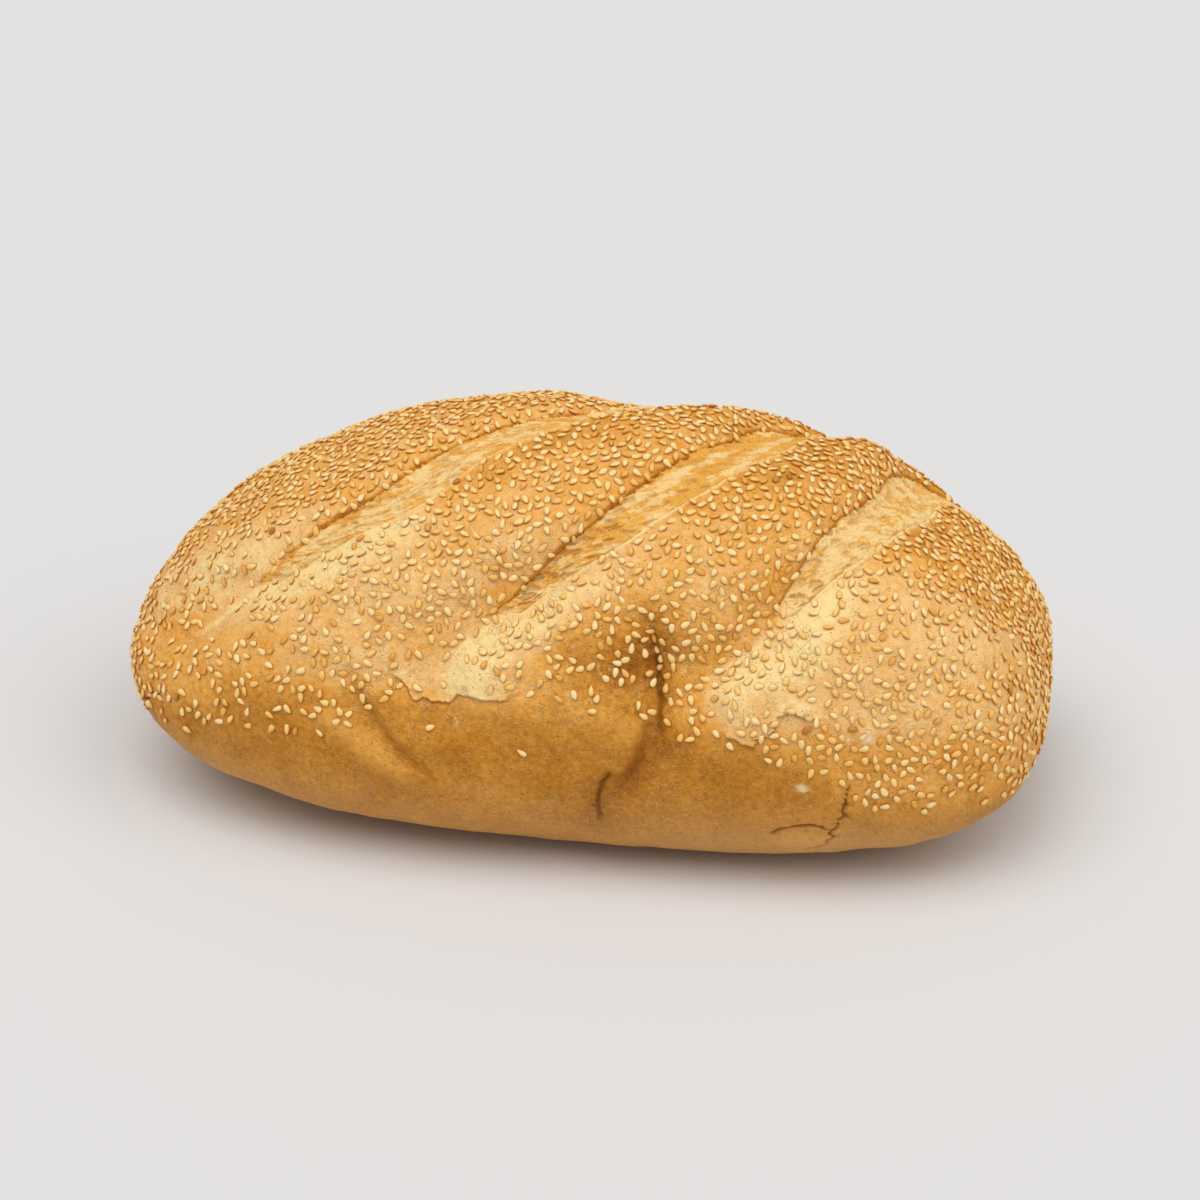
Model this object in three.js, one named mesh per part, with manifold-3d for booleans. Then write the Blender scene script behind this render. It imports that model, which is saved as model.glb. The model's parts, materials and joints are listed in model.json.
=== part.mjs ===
// A seeded vienna loaf with three slanting slashes across its top.
//
// The loaf lies along X and rests on z = 0, with +Z up and its front towards -Y. Sizes are in
// millimetres, angles in degrees. A place on the skin is given by x, measured from the middle of the
// body, and by an angle round the belly axis: 0 is straight up, 90 faces the front and -90 the back.

import * as THREE from 'three';
import Module from 'manifold-3d';

const wasm = await Module();
wasm.setup();

// ---------------------------------------------------------------- driving dimensions

// The body, a squarish oval in plan that is fuller on top than underneath.
const HALF_LENGTH = 150;
const HALF_WIDTH = 79.8;
const HEIGHT = 127.4;
const BELLY_HEIGHT = 40.4;     // height of the widest line
const SINK = 6;                // how far the round underside would reach below the table
const LEFT_POWER = 2.71;       // squareness in plan: 2 is an ellipse, more is squarer
const RIGHT_POWER = 3.70;
const CROWN_POWER = 1.93;      // squareness of the section above the belly, and below it
const UNDER_POWER = 2.45;
const WIDTH_TAPER = -0.078;    // change of width from the middle to the right tip
const HEIGHT_TAPER = 0.094;    // change of height from the middle to the right tip
const END_DROP = -0.085;       // loss of height towards both tips

// Where the middle of the finished loaf's box lies from the middle of the body, because seeds stand
// further proud of the right end than of the left.
const BOX_MIDDLE_X = 0.27;

// The slashes. A path gives x at each angle. The other lists are four angles, from back to front, at
// which something starts, is full, begins to fade and has gone: open is the depth of the torn opening,
// wide its width, dip the broad notch in which it runs over the top and down the back, and valley the
// shallow dip that carries on down the front. A dip has its reach on the left and on the right.
const SLASHES = [
  {
    path: [
      [-60, 74], [-34, 49], [-4, 3.5], [12, -30], [30, -57], [45, -87], [58, -110], [75, -122], [180, -40],
    ],
    open: [-34, -14, 38, 52], wide: [-22, 18, 28, 50], valley: [34, 52, 62, 84], halfWidth: 8.4, depth: 4,
    dip: [-90, -50, -27, 5], dipDepth: 9, dipWidths: [21, 10.5],
  },
  {
    path: [
      [-60, 105], [-38, 87], [-14, 63], [6, 51], [20, 35.5], [35, 15], [50, -8], [72, -34], [180, 26],
    ],
    open: [-44, -26, 42, 58], wide: [-42, 1, 18, 52], valley: [34, 54, 68, 88], halfWidth: 8.7, depth: 4.4,
    dip: [-90, -50, -22, 10], dipDepth: 4.2, dipWidths: [17.5, 10.3],
  },
  {
    path: [
      [-60, 129], [-40, 119], [-23, 106], [3, 100], [25, 89.5], [41, 77], [55, 65], [69, 47], [180, 92],
    ],
    open: [-48, -30, 38, 52], wide: [-52, -24, 24, 50], valley: [30, 48, 62, 84], halfWidth: 7.9, depth: 4.4,
    dip: [-90, -50, -18, 14], dipDepth: 2.9, dipWidths: [17.5, 10.3],
  },
];
const NARROW = 0.35;           // share of its width that a slash keeps at its ends
const ARC_RADIUS = 82;         // turns an angle into a length along the skin
const LIP_RISE = 1.0;          // the crust swells beside the torn lip
const LIP_WIDTH = 8;
const LIP_ROLL = 2.6;          // and rolls down towards it
const LIP_ROLL_WIDTH = 4;
const EDGE_DEPTH = 0.7;        // how far the crumb's shallow edge lies below the crust
const EDGE_FADE = 5;
const FLOOR_POWER = 1.4;       // how the floor rises from the lip to the edge: 1 is straight
const VALLEY_DEPTH = 6;
const VALLEY_WIDTHS = [17, 9]; // its reach on the left and on the steeper right
const LOBE_RISES = [0.4, 1.9]; // the risen crust between the slashes
const LOBE_SPAN = [-50, -20, 40, 70];

// The crease down the middle of the front, as x at each angle.
const CREASE_PATH = [[44, 29], [60, 34], [75, 36], [88, 28], [100, 19], [180, 19]];
const CREASE_SPAN = [46, 60, 92, 108];
const CREASE_DEPTH = 3.5;
const CREASE_WIDTH = 9;

const TABLE_FADE = 15;         // below this height the relief dies away towards the flat underside

// The seeds. They cover the loaf down to a line that is lower at the ends.
const SEED_LENGTH = 3.2;
const SEED_WIDTH = 2.1;
const SEED_THICKNESS = 1.0;
const SEED_LIFT = 0.22;        // height of a seed's middle above the crust
const SEED_COUNT = 235;
const SEED_SPACING = 14;
const SEED_LINE_HEIGHT = 62;
const SEED_LINE_STEP = 15;      // how far it drops past the fold on the left
const SEED_LINE_DROP_LEFT = 14;
const SEED_LINE_DROP_RIGHT = 32;
const SEED_CLEAR = 3;          // distance kept from an opening's edge
const RANDOM_SEED = 20;
const SHORTEST_EDGE = 0.02;    // of any triangle where a seed meets the crust

// How finely the skin is divided.
const SIDES = 40;
const TIP_RINGS = [9, 6];      // between the left tip and the first slash, the last and the right tip
const LOBE_RINGS = 2;
const LIP_RINGS = [-7, -3, -0.1, 1]; // the rings beside a slash's lip, as distances towards its floor
const FLOOR_RINGS = [-0.2, 0.5]; // the rings on its floor, as shares of its half width
const EDGE_RINGS = [0, 4, 7];  // the rings beside its edge, as distances away from its floor

// ---------------------------------------------------------------- small helpers

const radians = THREE.MathUtils.degToRad;
const lerp = THREE.MathUtils.lerp;

function smoothstep(from, to, value) {
  return THREE.MathUtils.smoothstep(value, from, to);
}

// 0 outside the four angles, 1 between the middle two.
function span([start, full, fading, end], angle) {
  return smoothstep(start, full, angle) * (1 - smoothstep(fading, end, angle));
}

function bell(value, width) {
  return Math.exp(-((value / width) ** 2));
}

// A repeatable stream of numbers from 0 to 1.
function randomStream(seed) {
  let state = seed;
  return () => {
    state = (state + 0x6d2b79f5) | 0;
    let bits = Math.imul(state ^ (state >>> 15), state | 1);
    bits ^= bits + Math.imul(bits ^ (bits >>> 7), bits | 61);
    return ((bits ^ (bits >>> 14)) >>> 0) / 2 ** 32;
  };
}

// x on a closed path at an angle, by smooth interpolation between the path's points.
function pathX(path, angle) {
  const count = path.length;
  const point = (i) => {
    const turns = Math.floor(i / count);
    const [pointAngle, x] = path[i - turns * count];
    return [pointAngle + 360 * turns, x];
  };
  const turned = angle < path[0][0] ? angle + 360 : angle;
  let i = 0;
  while (point(i + 1)[0] < turned) {
    i += 1;
  }
  const [before, start, end, after] = [point(i - 1), point(i), point(i + 1), point(i + 2)];
  const width = end[0] - start[0];
  const startSlope = ((end[1] - before[1]) / (end[0] - before[0])) * width;
  const endSlope = ((after[1] - start[1]) / (after[0] - start[0])) * width;
  const t = (turned - start[0]) / width;
  return (
    (2 * t ** 3 - 3 * t ** 2 + 1) * start[1] +
    (t ** 3 - 2 * t ** 2 + t) * startSlope +
    (3 * t ** 2 - 2 * t ** 3) * end[1] +
    (t ** 3 - t ** 2) * endSlope
  );
}

// How much longer a step along X is than the step straight across a path.
function pathStretch(path, angle) {
  const slope = (pathX(path, angle + 1) - pathX(path, angle - 1)) / 2;
  return Math.hypot(1, slope / (ARC_RADIUS * radians(1)));
}

// ---------------------------------------------------------------- the body

// Below 0 inside the plain body, 0 on its skin, above 0 outside.
function bodyField(x, y, z) {
  const along = x / HALF_LENGTH;
  const across = y / (HALF_WIDTH * (1 + WIDTH_TAPER * along));
  const power = along < 0 ? LEFT_POWER : RIGHT_POWER;
  const plan = (Math.abs(along) ** power + Math.abs(across) ** power) ** (1 / power);
  const up = z - BELLY_HEIGHT;
  if (up > 0) {
    const crown = (HEIGHT - BELLY_HEIGHT) * (1 + HEIGHT_TAPER * along + END_DROP * along ** 2);
    return plan ** CROWN_POWER + (up / crown) ** CROWN_POWER - 1;
  }
  return plan ** UNDER_POWER + (-up / (BELLY_HEIGHT + SINK)) ** UNDER_POWER - 1;
}

// The plain body's skin at x and an angle: a point on the ray that leaves the belly axis there.
function bodyPoint(x, angle) {
  const direction = new THREE.Vector3(0, -Math.sin(radians(angle)), Math.cos(radians(angle)));
  let inside = 0;
  let outside = 2 * HEIGHT;
  for (let i = 0; i < 40; i += 1) {
    const middle = (inside + outside) / 2;
    const isInside = bodyField(x, direction.y * middle, BELLY_HEIGHT + direction.z * middle) < 0;
    [inside, outside] = isInside ? [middle, outside] : [inside, middle];
  }
  return new THREE.Vector3(x, direction.y * inside, BELLY_HEIGHT + direction.z * inside);
}

function bodyNormal(point) {
  const step = 0.5;
  const slope = (axis) => {
    const ahead = point.clone();
    const behind = point.clone();
    ahead[axis] += step;
    behind[axis] -= step;
    return bodyField(...ahead.toArray()) - bodyField(...behind.toArray());
  };
  return new THREE.Vector3(slope('x'), slope('y'), slope('z')).normalize();
}

// ---------------------------------------------------------------- slashes, valleys and crease

function slashHalfWidth(slash, angle) {
  return slash.halfWidth * lerp(NARROW, 1, span(slash.wide, angle));
}

// Distance straight across a slash's path, negative on the side of the lip.
function slashOffset(slash, x, angle) {
  return (x - pathX(slash.path, angle)) / pathStretch(slash.path, angle);
}

// Height of the skin above the plain body beside and inside one slash.
function slashRelief(slash, x, angle) {
  const opened = span(slash.open, angle);
  const half = slashHalfWidth(slash, angle);
  const offset = slashOffset(slash, x, angle);
  const pastLip = offset + half;
  const pastEdge = offset - half;
  const valleyWidth = VALLEY_WIDTHS[offset < 0 ? 0 : 1];
  const dipWidth = slash.dipWidths[offset < 0 ? 0 : 1];
  const hollow = -VALLEY_DEPTH * span(slash.valley, angle) * bell(offset, valleyWidth)
    - slash.dipDepth * span(slash.dip, angle) * bell(offset, dipWidth);
  if (pastLip < 0) {
    const swell = LIP_RISE * bell(pastLip + LIP_WIDTH, LIP_WIDTH);
    return hollow + opened * (swell - LIP_ROLL * Math.exp(pastLip / LIP_ROLL_WIDTH));
  }
  if (pastEdge > 0) {
    return hollow - opened * EDGE_DEPTH * Math.exp(-pastEdge / EDGE_FADE);
  }
  const fromLip = pastLip / (2 * half);
  const floor = EDGE_DEPTH + (slash.depth - EDGE_DEPTH) * (1 - fromLip ** FLOOR_POWER);
  return hollow - opened * floor;
}

// The crust swells between two neighbouring slashes, over the top of the loaf.
function lobeRelief(x, angle) {
  let rise = 0;
  for (let i = 0; i + 1 < SLASHES.length; i += 1) {
    const left = pathX(SLASHES[i].path, angle);
    const right = pathX(SLASHES[i + 1].path, angle);
    const across = (x - left) / (right - left);
    if (across > 0 && across < 1) {
      rise += LOBE_RISES[i] * Math.sin(Math.PI * across) ** 2;
    }
  }
  return rise * span(LOBE_SPAN, angle);
}

function creaseRelief(x, angle) {
  const offset = x - pathX(CREASE_PATH, angle);
  return -CREASE_DEPTH * span(CREASE_SPAN, angle) * bell(offset, CREASE_WIDTH);
}

// A point of the finished crust. The underside stays flat on the table.
function skinPoint(x, angle) {
  const point = bodyPoint(x, angle);
  const aboveTable = smoothstep(0, TABLE_FADE, point.z);
  let relief = lobeRelief(x, angle) + creaseRelief(x, angle);
  for (const slash of SLASHES) {
    relief += slashRelief(slash, x, angle);
  }
  point.addScaledVector(bodyNormal(point), relief * aboveTable);
  point.z = Math.max(point.z, 0);
  return point;
}

// ---------------------------------------------------------------- the skin's mesh

// x of the rings between a place on one side and a tip, evenly spaced along the skin.
function evenRings(angle, fromX, tipX, rings) {
  const steps = 160;
  const xs = [];
  const lengths = [];
  let last = null;
  for (let i = 0; i <= steps; i += 1) {
    const x = lerp(fromX, tipX, Math.sin((Math.PI / 2) * (i / steps)));
    const point = bodyPoint(x, angle);
    lengths.push(last ? lengths[i - 1] + point.distanceTo(last) : 0);
    xs.push(x);
    last = point;
  }
  const found = [];
  for (let ring = 1; ring <= rings; ring += 1) {
    const wanted = (lengths[steps] * ring) / (rings + 1);
    const i = lengths.findIndex((length) => length >= wanted);
    found.push(lerp(xs[i - 1], xs[i], (wanted - lengths[i - 1]) / (lengths[i] - lengths[i - 1])));
  }
  return found.sort((a, b) => a - b);
}

// Rings that follow a slash: beside it, at both sides of its lip, across its floor and at its edge.
function slashRings(slash, angle) {
  const half = slashHalfWidth(slash, angle);
  const offsets = [
    ...LIP_RINGS.map((distance) => distance - half),
    ...FLOOR_RINGS.map((share) => share * half),
    ...EDGE_RINGS.map((distance) => distance + half),
  ];
  const stretch = pathStretch(slash.path, angle);
  return offsets.map((offset) => pathX(slash.path, angle) + offset * stretch);
}

function ringsAt(angle) {
  const groups = SLASHES.map((slash) => slashRings(slash, angle));
  const xs = evenRings(angle, groups[0][0], -HALF_LENGTH, TIP_RINGS[0]);
  groups.forEach((group, i) => {
    xs.push(...group);
    const next = groups[i + 1];
    if (next) {
      const start = group[group.length - 1];
      for (let ring = 1; ring <= LOBE_RINGS; ring += 1) {
        xs.push(lerp(start, next[0], ring / (LOBE_RINGS + 1)));
      }
    } else {
      xs.push(...evenRings(angle, group[group.length - 1], HALF_LENGTH, TIP_RINGS[1]));
    }
  });
  return xs;
}

// The closed skin as lists of points and triangles, with a single point at either tip.
function skinMesh() {
  const points = [new THREE.Vector3(-HALF_LENGTH, 0, BELLY_HEIGHT)];
  const angles = Array.from({ length: SIDES }, (_, side) => -180 + (360 * side) / SIDES);
  const columns = angles.map((angle) => ringsAt(angle));
  const rings = columns[0].length;
  for (let ring = 0; ring < rings; ring += 1) {
    angles.forEach((angle, side) => points.push(skinPoint(columns[side][ring], angle)));
  }
  points.push(new THREE.Vector3(HALF_LENGTH, 0, BELLY_HEIGHT));

  const index = (ring, side) => 1 + ring * SIDES + (side % SIDES);
  const rightTip = points.length - 1;
  const triangles = [];
  for (let side = 0; side < SIDES; side += 1) {
    triangles.push([0, index(0, side + 1), index(0, side)]);
    for (let ring = 0; ring + 1 < rings; ring += 1) {
      triangles.push([index(ring, side), index(ring, side + 1), index(ring + 1, side + 1)]);
      triangles.push([index(ring, side), index(ring + 1, side + 1), index(ring + 1, side)]);
    }
    triangles.push([rightTip, index(rings - 1, side), index(rings - 1, side + 1)]);
  }
  return { points, triangles };
}

// ---------------------------------------------------------------- seeds

// A flat seed, round at one end and narrow at the other: tips at both ends and two five-sided rings.
function seedMesh() {
  const sides = 5;
  const stations = [[-0.42, 1.0], [0.5, 0.8]];
  const points = [new THREE.Vector3(-SEED_LENGTH / 2, 0, 0)];
  for (const [along, wide] of stations) {
    for (let side = 0; side < sides; side += 1) {
      const turn = (2 * Math.PI * side) / sides + Math.PI / 2;
      points.push(new THREE.Vector3(
        (along * SEED_LENGTH) / 2,
        (wide * Math.cos(turn) * SEED_WIDTH) / 2,
        (wide * Math.sin(turn) * SEED_THICKNESS) / 2,
      ));
    }
  }
  points.push(new THREE.Vector3(SEED_LENGTH / 2, 0, 0));
  const index = (station, side) => 1 + station * sides + (side % sides);
  const frontTip = points.length - 1;
  const triangles = [];
  for (let side = 0; side < sides; side += 1) {
    triangles.push([0, index(0, side + 1), index(0, side)]);
    for (let station = 0; station + 1 < stations.length; station += 1) {
      triangles.push([index(station, side), index(station, side + 1), index(station + 1, side + 1)]);
      triangles.push([index(station, side), index(station + 1, side + 1), index(station + 1, side)]);
    }
    triangles.push([frontTip, index(stations.length - 1, side), index(stations.length - 1, side + 1)]);
  }
  return { points, triangles };
}

// Lowest height at which seeds stick, at a given x.
function seedLine(x) {
  const along = x / HALF_LENGTH;
  const step = SEED_LINE_STEP * smoothstep(0.29, 0.36, -along);
  const dropLeft = SEED_LINE_DROP_LEFT * smoothstep(0.36, 0.95, -along);
  const dropRight = SEED_LINE_DROP_RIGHT * smoothstep(0.15, 0.88, along);
  return SEED_LINE_HEIGHT - step - dropLeft - dropRight;
}

function takesSeed(point) {
  if (point.z < seedLine(point.x)) {
    return false;
  }
  const angle = THREE.MathUtils.radToDeg(Math.atan2(-point.y, point.z - BELLY_HEIGHT));
  return SLASHES.every((slash) => {
    const isShut = span(slash.open, angle) === 0;
    const offset = Math.abs(slashOffset(slash, point.x, angle));
    return isShut || offset > slashHalfWidth(slash, angle) + SEED_CLEAR;
  });
}

// Scatters seeds evenly over the triangles of the skin, each lying flat and turned at random.
function scatterSeeds({ points, triangles }) {
  const random = randomStream(RANDOM_SEED);
  const faces = triangles.map((corners) => new THREE.Triangle(...corners.map((i) => points[i])));
  const reach = [];
  faces.forEach((face, i) => reach.push((reach[i - 1] ?? 0) + face.getArea()));
  const total = reach[reach.length - 1];
  const placed = [];
  for (let attempt = 0; attempt < 60000 && placed.length < SEED_COUNT; attempt += 1) {
    const wanted = random() * total;
    const face = faces[reach.findIndex((area) => area >= wanted)];
    const root = Math.sqrt(random());
    const share = random();
    const place = face.a.clone().multiplyScalar(1 - root)
      .addScaledVector(face.b, root * (1 - share))
      .addScaledVector(face.c, root * share);
    const crowded = placed.some((other) => other.place.distanceTo(place) < SEED_SPACING);
    const turn = random() * 2 * Math.PI;
    if (!crowded && takesSeed(place)) {
      placed.push({ place, normal: face.getNormal(new THREE.Vector3()), turn });
    }
  }
  return placed;
}

function placeSeed(seed, { place, normal, turn }) {
  const upright = new THREE.Quaternion().setFromUnitVectors(new THREE.Vector3(0, 0, 1), normal);
  const turned = new THREE.Quaternion().setFromAxisAngle(new THREE.Vector3(0, 0, 1), turn);
  const position = place.clone().addScaledVector(normal, SEED_LIFT);
  const size = new THREE.Vector3(1, 1, 1);
  const matrix = new THREE.Matrix4().compose(position, upright.multiply(turned), size);
  return {
    points: seed.points.map((point) => point.clone().applyMatrix4(matrix)),
    triangles: seed.triangles,
  };
}

// ---------------------------------------------------------------- joining

function toSolid({ points, triangles }) {
  const vertProperties = new Float32Array(points.flatMap((point) => point.toArray()));
  const triVerts = new Uint32Array(triangles.flat());
  return new wasm.Manifold(new wasm.Mesh({ numProp: 3, vertProperties, triVerts }));
}

// Keeps the triangles that hang together with the first tip, so that no sealed hollow stays behind.
function outerSkin(positions, triangles) {
  const parent = Array.from({ length: positions.length / 3 }, (_, i) => i);
  const find = (i) => {
    let root = i;
    while (parent[root] !== root) {
      parent[root] = parent[parent[root]];
      root = parent[root];
    }
    return root;
  };
  for (let i = 0; i < triangles.length; i += 3) {
    parent[find(triangles[i])] = find(triangles[i + 1]);
    parent[find(triangles[i + 1])] = find(triangles[i + 2]);
  }
  let leftmost = 0;
  for (let i = 1; i < parent.length; i += 1) {
    leftmost = positions[3 * i] < positions[3 * leftmost] ? i : leftmost;
  }
  const kept = [];
  for (let i = 0; i < triangles.length; i += 3) {
    if (find(triangles[i]) === find(leftmost)) {
      kept.push(triangles[i], triangles[i + 1], triangles[i + 2]);
    }
  }
  return kept;
}

// True if every edge is long enough and no two corners share one place.
function isSound({ vertProperties, triVerts }) {
  const corners = [];
  for (let i = 0; i < vertProperties.length; i += 3) {
    corners.push(new THREE.Vector3().fromArray(vertProperties, i));
  }
  const places = new Set(corners.map((corner) => corner.toArray().join(' ')));
  if (places.size < corners.length) {
    return false;
  }
  for (let i = 0; i < triVerts.length; i += 3) {
    const [a, b, c] = [0, 1, 2].map((step) => corners[triVerts[i + step]]);
    if (Math.min(a.distanceTo(b), b.distanceTo(c), c.distanceTo(a)) < SHORTEST_EDGE) {
      return false;
    }
  }
  return true;
}

// The crust with its seeds. A seed that would meet the crust in a sliver is left out.
function loafGeometry() {
  const skin = skinMesh();
  const seed = seedMesh();
  let solid = toSolid(skin);
  for (const placement of scatterSeeds(skin)) {
    const joinedByOne = solid.add(toSolid(placeSeed(seed, placement)));
    if (isSound(joinedByOne.getMesh())) {
      solid = joinedByOne;
    }
  }
  const joined = solid.getMesh();
  const geometry = new THREE.BufferGeometry();
  const positions = Float32Array.from(joined.vertProperties);
  geometry.setAttribute('position', new THREE.BufferAttribute(positions, 3));
  geometry.setIndex(outerSkin(joined.vertProperties, joined.triVerts));
  geometry.translate(-BOX_MIDDLE_X, 0, 0);
  return geometry;
}

const crust = new THREE.MeshStandardMaterial({ color: 0xd09a52, roughness: 0.75, metalness: 0 });
const loaf = new THREE.Mesh(loafGeometry(), crust);
loaf.name = 'loaf';

const part = new THREE.Group();
part.add(loaf);

export default part;
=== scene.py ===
"""A seeded vienna loaf with three slanting slashes, on a plain pale floor.

The loaf lies along X with its front towards -Y. The shape is worked out in millimetres. A place on the
skin is given by x, measured from the middle of the body, and by an angle round the belly axis: 0 is
straight up, 90 faces the front and -90 the back.
"""

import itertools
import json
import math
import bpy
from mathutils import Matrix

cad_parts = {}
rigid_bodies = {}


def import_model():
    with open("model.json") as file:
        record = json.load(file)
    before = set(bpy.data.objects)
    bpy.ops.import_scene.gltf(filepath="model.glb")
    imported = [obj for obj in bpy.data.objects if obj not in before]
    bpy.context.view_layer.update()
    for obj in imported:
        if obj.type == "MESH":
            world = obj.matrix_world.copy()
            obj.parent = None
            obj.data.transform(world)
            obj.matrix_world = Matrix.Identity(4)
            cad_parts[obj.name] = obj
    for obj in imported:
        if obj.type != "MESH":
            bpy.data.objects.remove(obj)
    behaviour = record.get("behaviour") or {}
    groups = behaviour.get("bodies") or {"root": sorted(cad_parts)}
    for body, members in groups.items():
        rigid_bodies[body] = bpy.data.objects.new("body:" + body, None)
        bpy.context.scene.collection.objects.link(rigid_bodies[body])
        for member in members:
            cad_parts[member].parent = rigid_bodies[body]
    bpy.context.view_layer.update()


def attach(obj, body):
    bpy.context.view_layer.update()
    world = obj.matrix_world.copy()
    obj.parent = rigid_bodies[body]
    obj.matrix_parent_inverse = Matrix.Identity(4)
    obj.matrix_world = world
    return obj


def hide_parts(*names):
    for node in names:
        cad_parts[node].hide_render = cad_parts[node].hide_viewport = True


bl_info = {
    "name": "Seeded vienna loaf",
    "version": (1, 0, 0),
    "blender": (4, 5, 0),
    "location": "3D View > Sidebar > Loaf",
    "description": "Bakes a seeded vienna loaf: its crust, the torn crumb in its slashes and its seeds",
    "category": "Add Mesh",
}

import bpy
import numpy as np
from bpy.props import FloatProperty, FloatVectorProperty, IntProperty, PointerProperty
from bpy.types import Operator, Panel, PropertyGroup
from mathutils import Vector

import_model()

MM = 0.001

# ------------------------------------------------------------------ the loaf's own sizes, in mm

HALF_LENGTH = 150
HALF_WIDTH = 79.8
HEIGHT = 127.4
BELLY_HEIGHT = 40.4
SINK = 6  # how far the round underside would reach below the table
LEFT_POWER = 2.71  # squareness in plan: 2 is an ellipse, more is squarer
RIGHT_POWER = 3.70
CROWN_POWER = 1.93  # squareness of the section above the belly, and below it
UNDER_POWER = 2.45
WIDTH_TAPER = -0.078
HEIGHT_TAPER = 0.094
END_DROP = -0.085
BOX_MIDDLE_X = 0.27  # the middle of the loaf's box, from the middle of the body

# The slashes. A path gives x at each angle. The other lists are four angles, from back to front, at
# which something starts, is full, begins to fade and has gone: how far it is open and how wide, the
# broad dip in which it runs over the top, and the shallow valley that carries on down the front.
SLASHES = [
    {
        "path": [
            (-60, 74), (-34, 49), (-4, 3.5), (12, -30), (30, -57),
            (45, -87), (58, -110), (75, -122), (180, -40),
        ],
        "open": (-34, -14, 38, 52),
        "wide": (-22, 18, 28, 50),
        "valley": (34, 52, 62, 84),
        "half_width": 8.4,
        "depth": 4,
        "dip": (-90, -50, -27, 5),
        "dip_depth": 9,
        "dip_widths": (21, 10.5),
        # Angles of the flank beyond the edge that is painted paler: partly paler skin, partly painted light.
        "lit_flank_span": (28, 40, 46, 60),
        "golden": 0.6,
    },
    {
        "path": [
            (-60, 105), (-38, 87), (-14, 63), (6, 51), (20, 35.5),
            (35, 15), (50, -8), (72, -34), (180, 26),
        ],
        "open": (-44, -26, 42, 58),
        "wide": (-42, 1, 18, 52),
        "valley": (34, 54, 68, 88),
        "half_width": 8.7,
        "depth": 4.4,
        "dip": (-90, -50, -22, 10),
        "dip_depth": 4.2,
        "dip_widths": (17.5, 10.3),
        "lit_flank_span": (34, 52, 70, 84),
        "golden": 1.0,
    },
    {
        "path": [
            (-60, 129), (-40, 119), (-23, 106), (3, 100), (25, 89.5),
            (41, 77), (55, 65), (69, 47), (180, 92),
        ],
        "open": (-48, -30, 38, 52),
        "wide": (-52, -24, 24, 50),
        "valley": (30, 48, 62, 84),
        "half_width": 7.9,
        "depth": 4.4,
        "dip": (-90, -50, -18, 14),
        "dip_depth": 2.9,
        "dip_widths": (17.5, 10.3),
        "lit_flank_span": (30, 46, 68, 82),
        "golden": 0.3,
    },
]
NARROW = 0.35  # share of its width that a slash keeps at its ends
ARC_RADIUS = 82  # turns an angle into a length along the skin
MM_PER_DEGREE = ARC_RADIUS * math.radians(1)
LIP_RISE = 1.0
LIP_WIDTH = 8
LIP_ROLL = 2.6
LIP_ROLL_WIDTH = 4
EDGE_DEPTH = 0.7
EDGE_FADE = 5
FLOOR_POWER = 1.4
VALLEY_DEPTH = 6
VALLEY_WIDTHS = (17, 9)  # its reach on the left and on the steeper right
LOBE_RISES = (0.4, 1.9)
LOBE_SPAN = (-50, -20, 40, 70)
CREASE_PATH = [(44, 29), (60, 34), (75, 36), (88, 28), (100, 19), (180, 19)]
CREASE_SPAN = (46, 60, 92, 108)
CREASE_DEPTH = 3.5
CREASE_WIDTH = 9
TABLE_FADE = 15
SEED_LINE_HEIGHT = 62  # lowest height at which seeds stick, lower towards both ends
SEED_LINE_STEP = 15  # how far it drops past the fold on the left
SEED_LINE_DROP_LEFT = 14
SEED_LINE_DROP_RIGHT = 32
BROWN_LINE_DROP_LEFT = 24  # the same for the line below which the crust is browner
BROWN_LINE_DROP_RIGHT = 30

# Layers of noise, in mm: how wide each is, how deep, and which noise it takes.
SWELLS = ((48, 0.6, 1), (19, 0.8, 2), (8, 0.42, 3), (4, 0.18, 4))
UNEVEN_LINES = ((14, 3.0, 7), (5, 1.5, 8))
RAGGED_LIP = ((11, 0.75, 20), (4.2, 0.4, 30))
RAGGED_EDGE = ((13, 0.5, 40), (4.6, 0.35, 50))
RAGGED_FLAKES = ((2.8, 0.8, 63), (1.1, 0.4, 64))
RAGGED_FLOUR = ((1.5, 0.8, 65),)
# Finer relief of the crust, in mm.
WRINKLE_SIZE = 3.4
WRINKLE_DEPTH = 0.42
LIP_OVERHANG = 0.25  # the torn lip leans over the floor
LIP_UNDERCUT = 0.2
LIP_WALL = 0.8  # width of the wall below the lip
CRUMB_BANK = 0.95  # how much higher the crumb lies against the lip than the torn floor
CRUMB_ROOM = 1.6  # how far the crust's floor lies below the crumb's
FRINGE_RISE = 0.35  # the thin torn fringe along a slash's edge
FRINGE_WIDTH = 0.8
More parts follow.
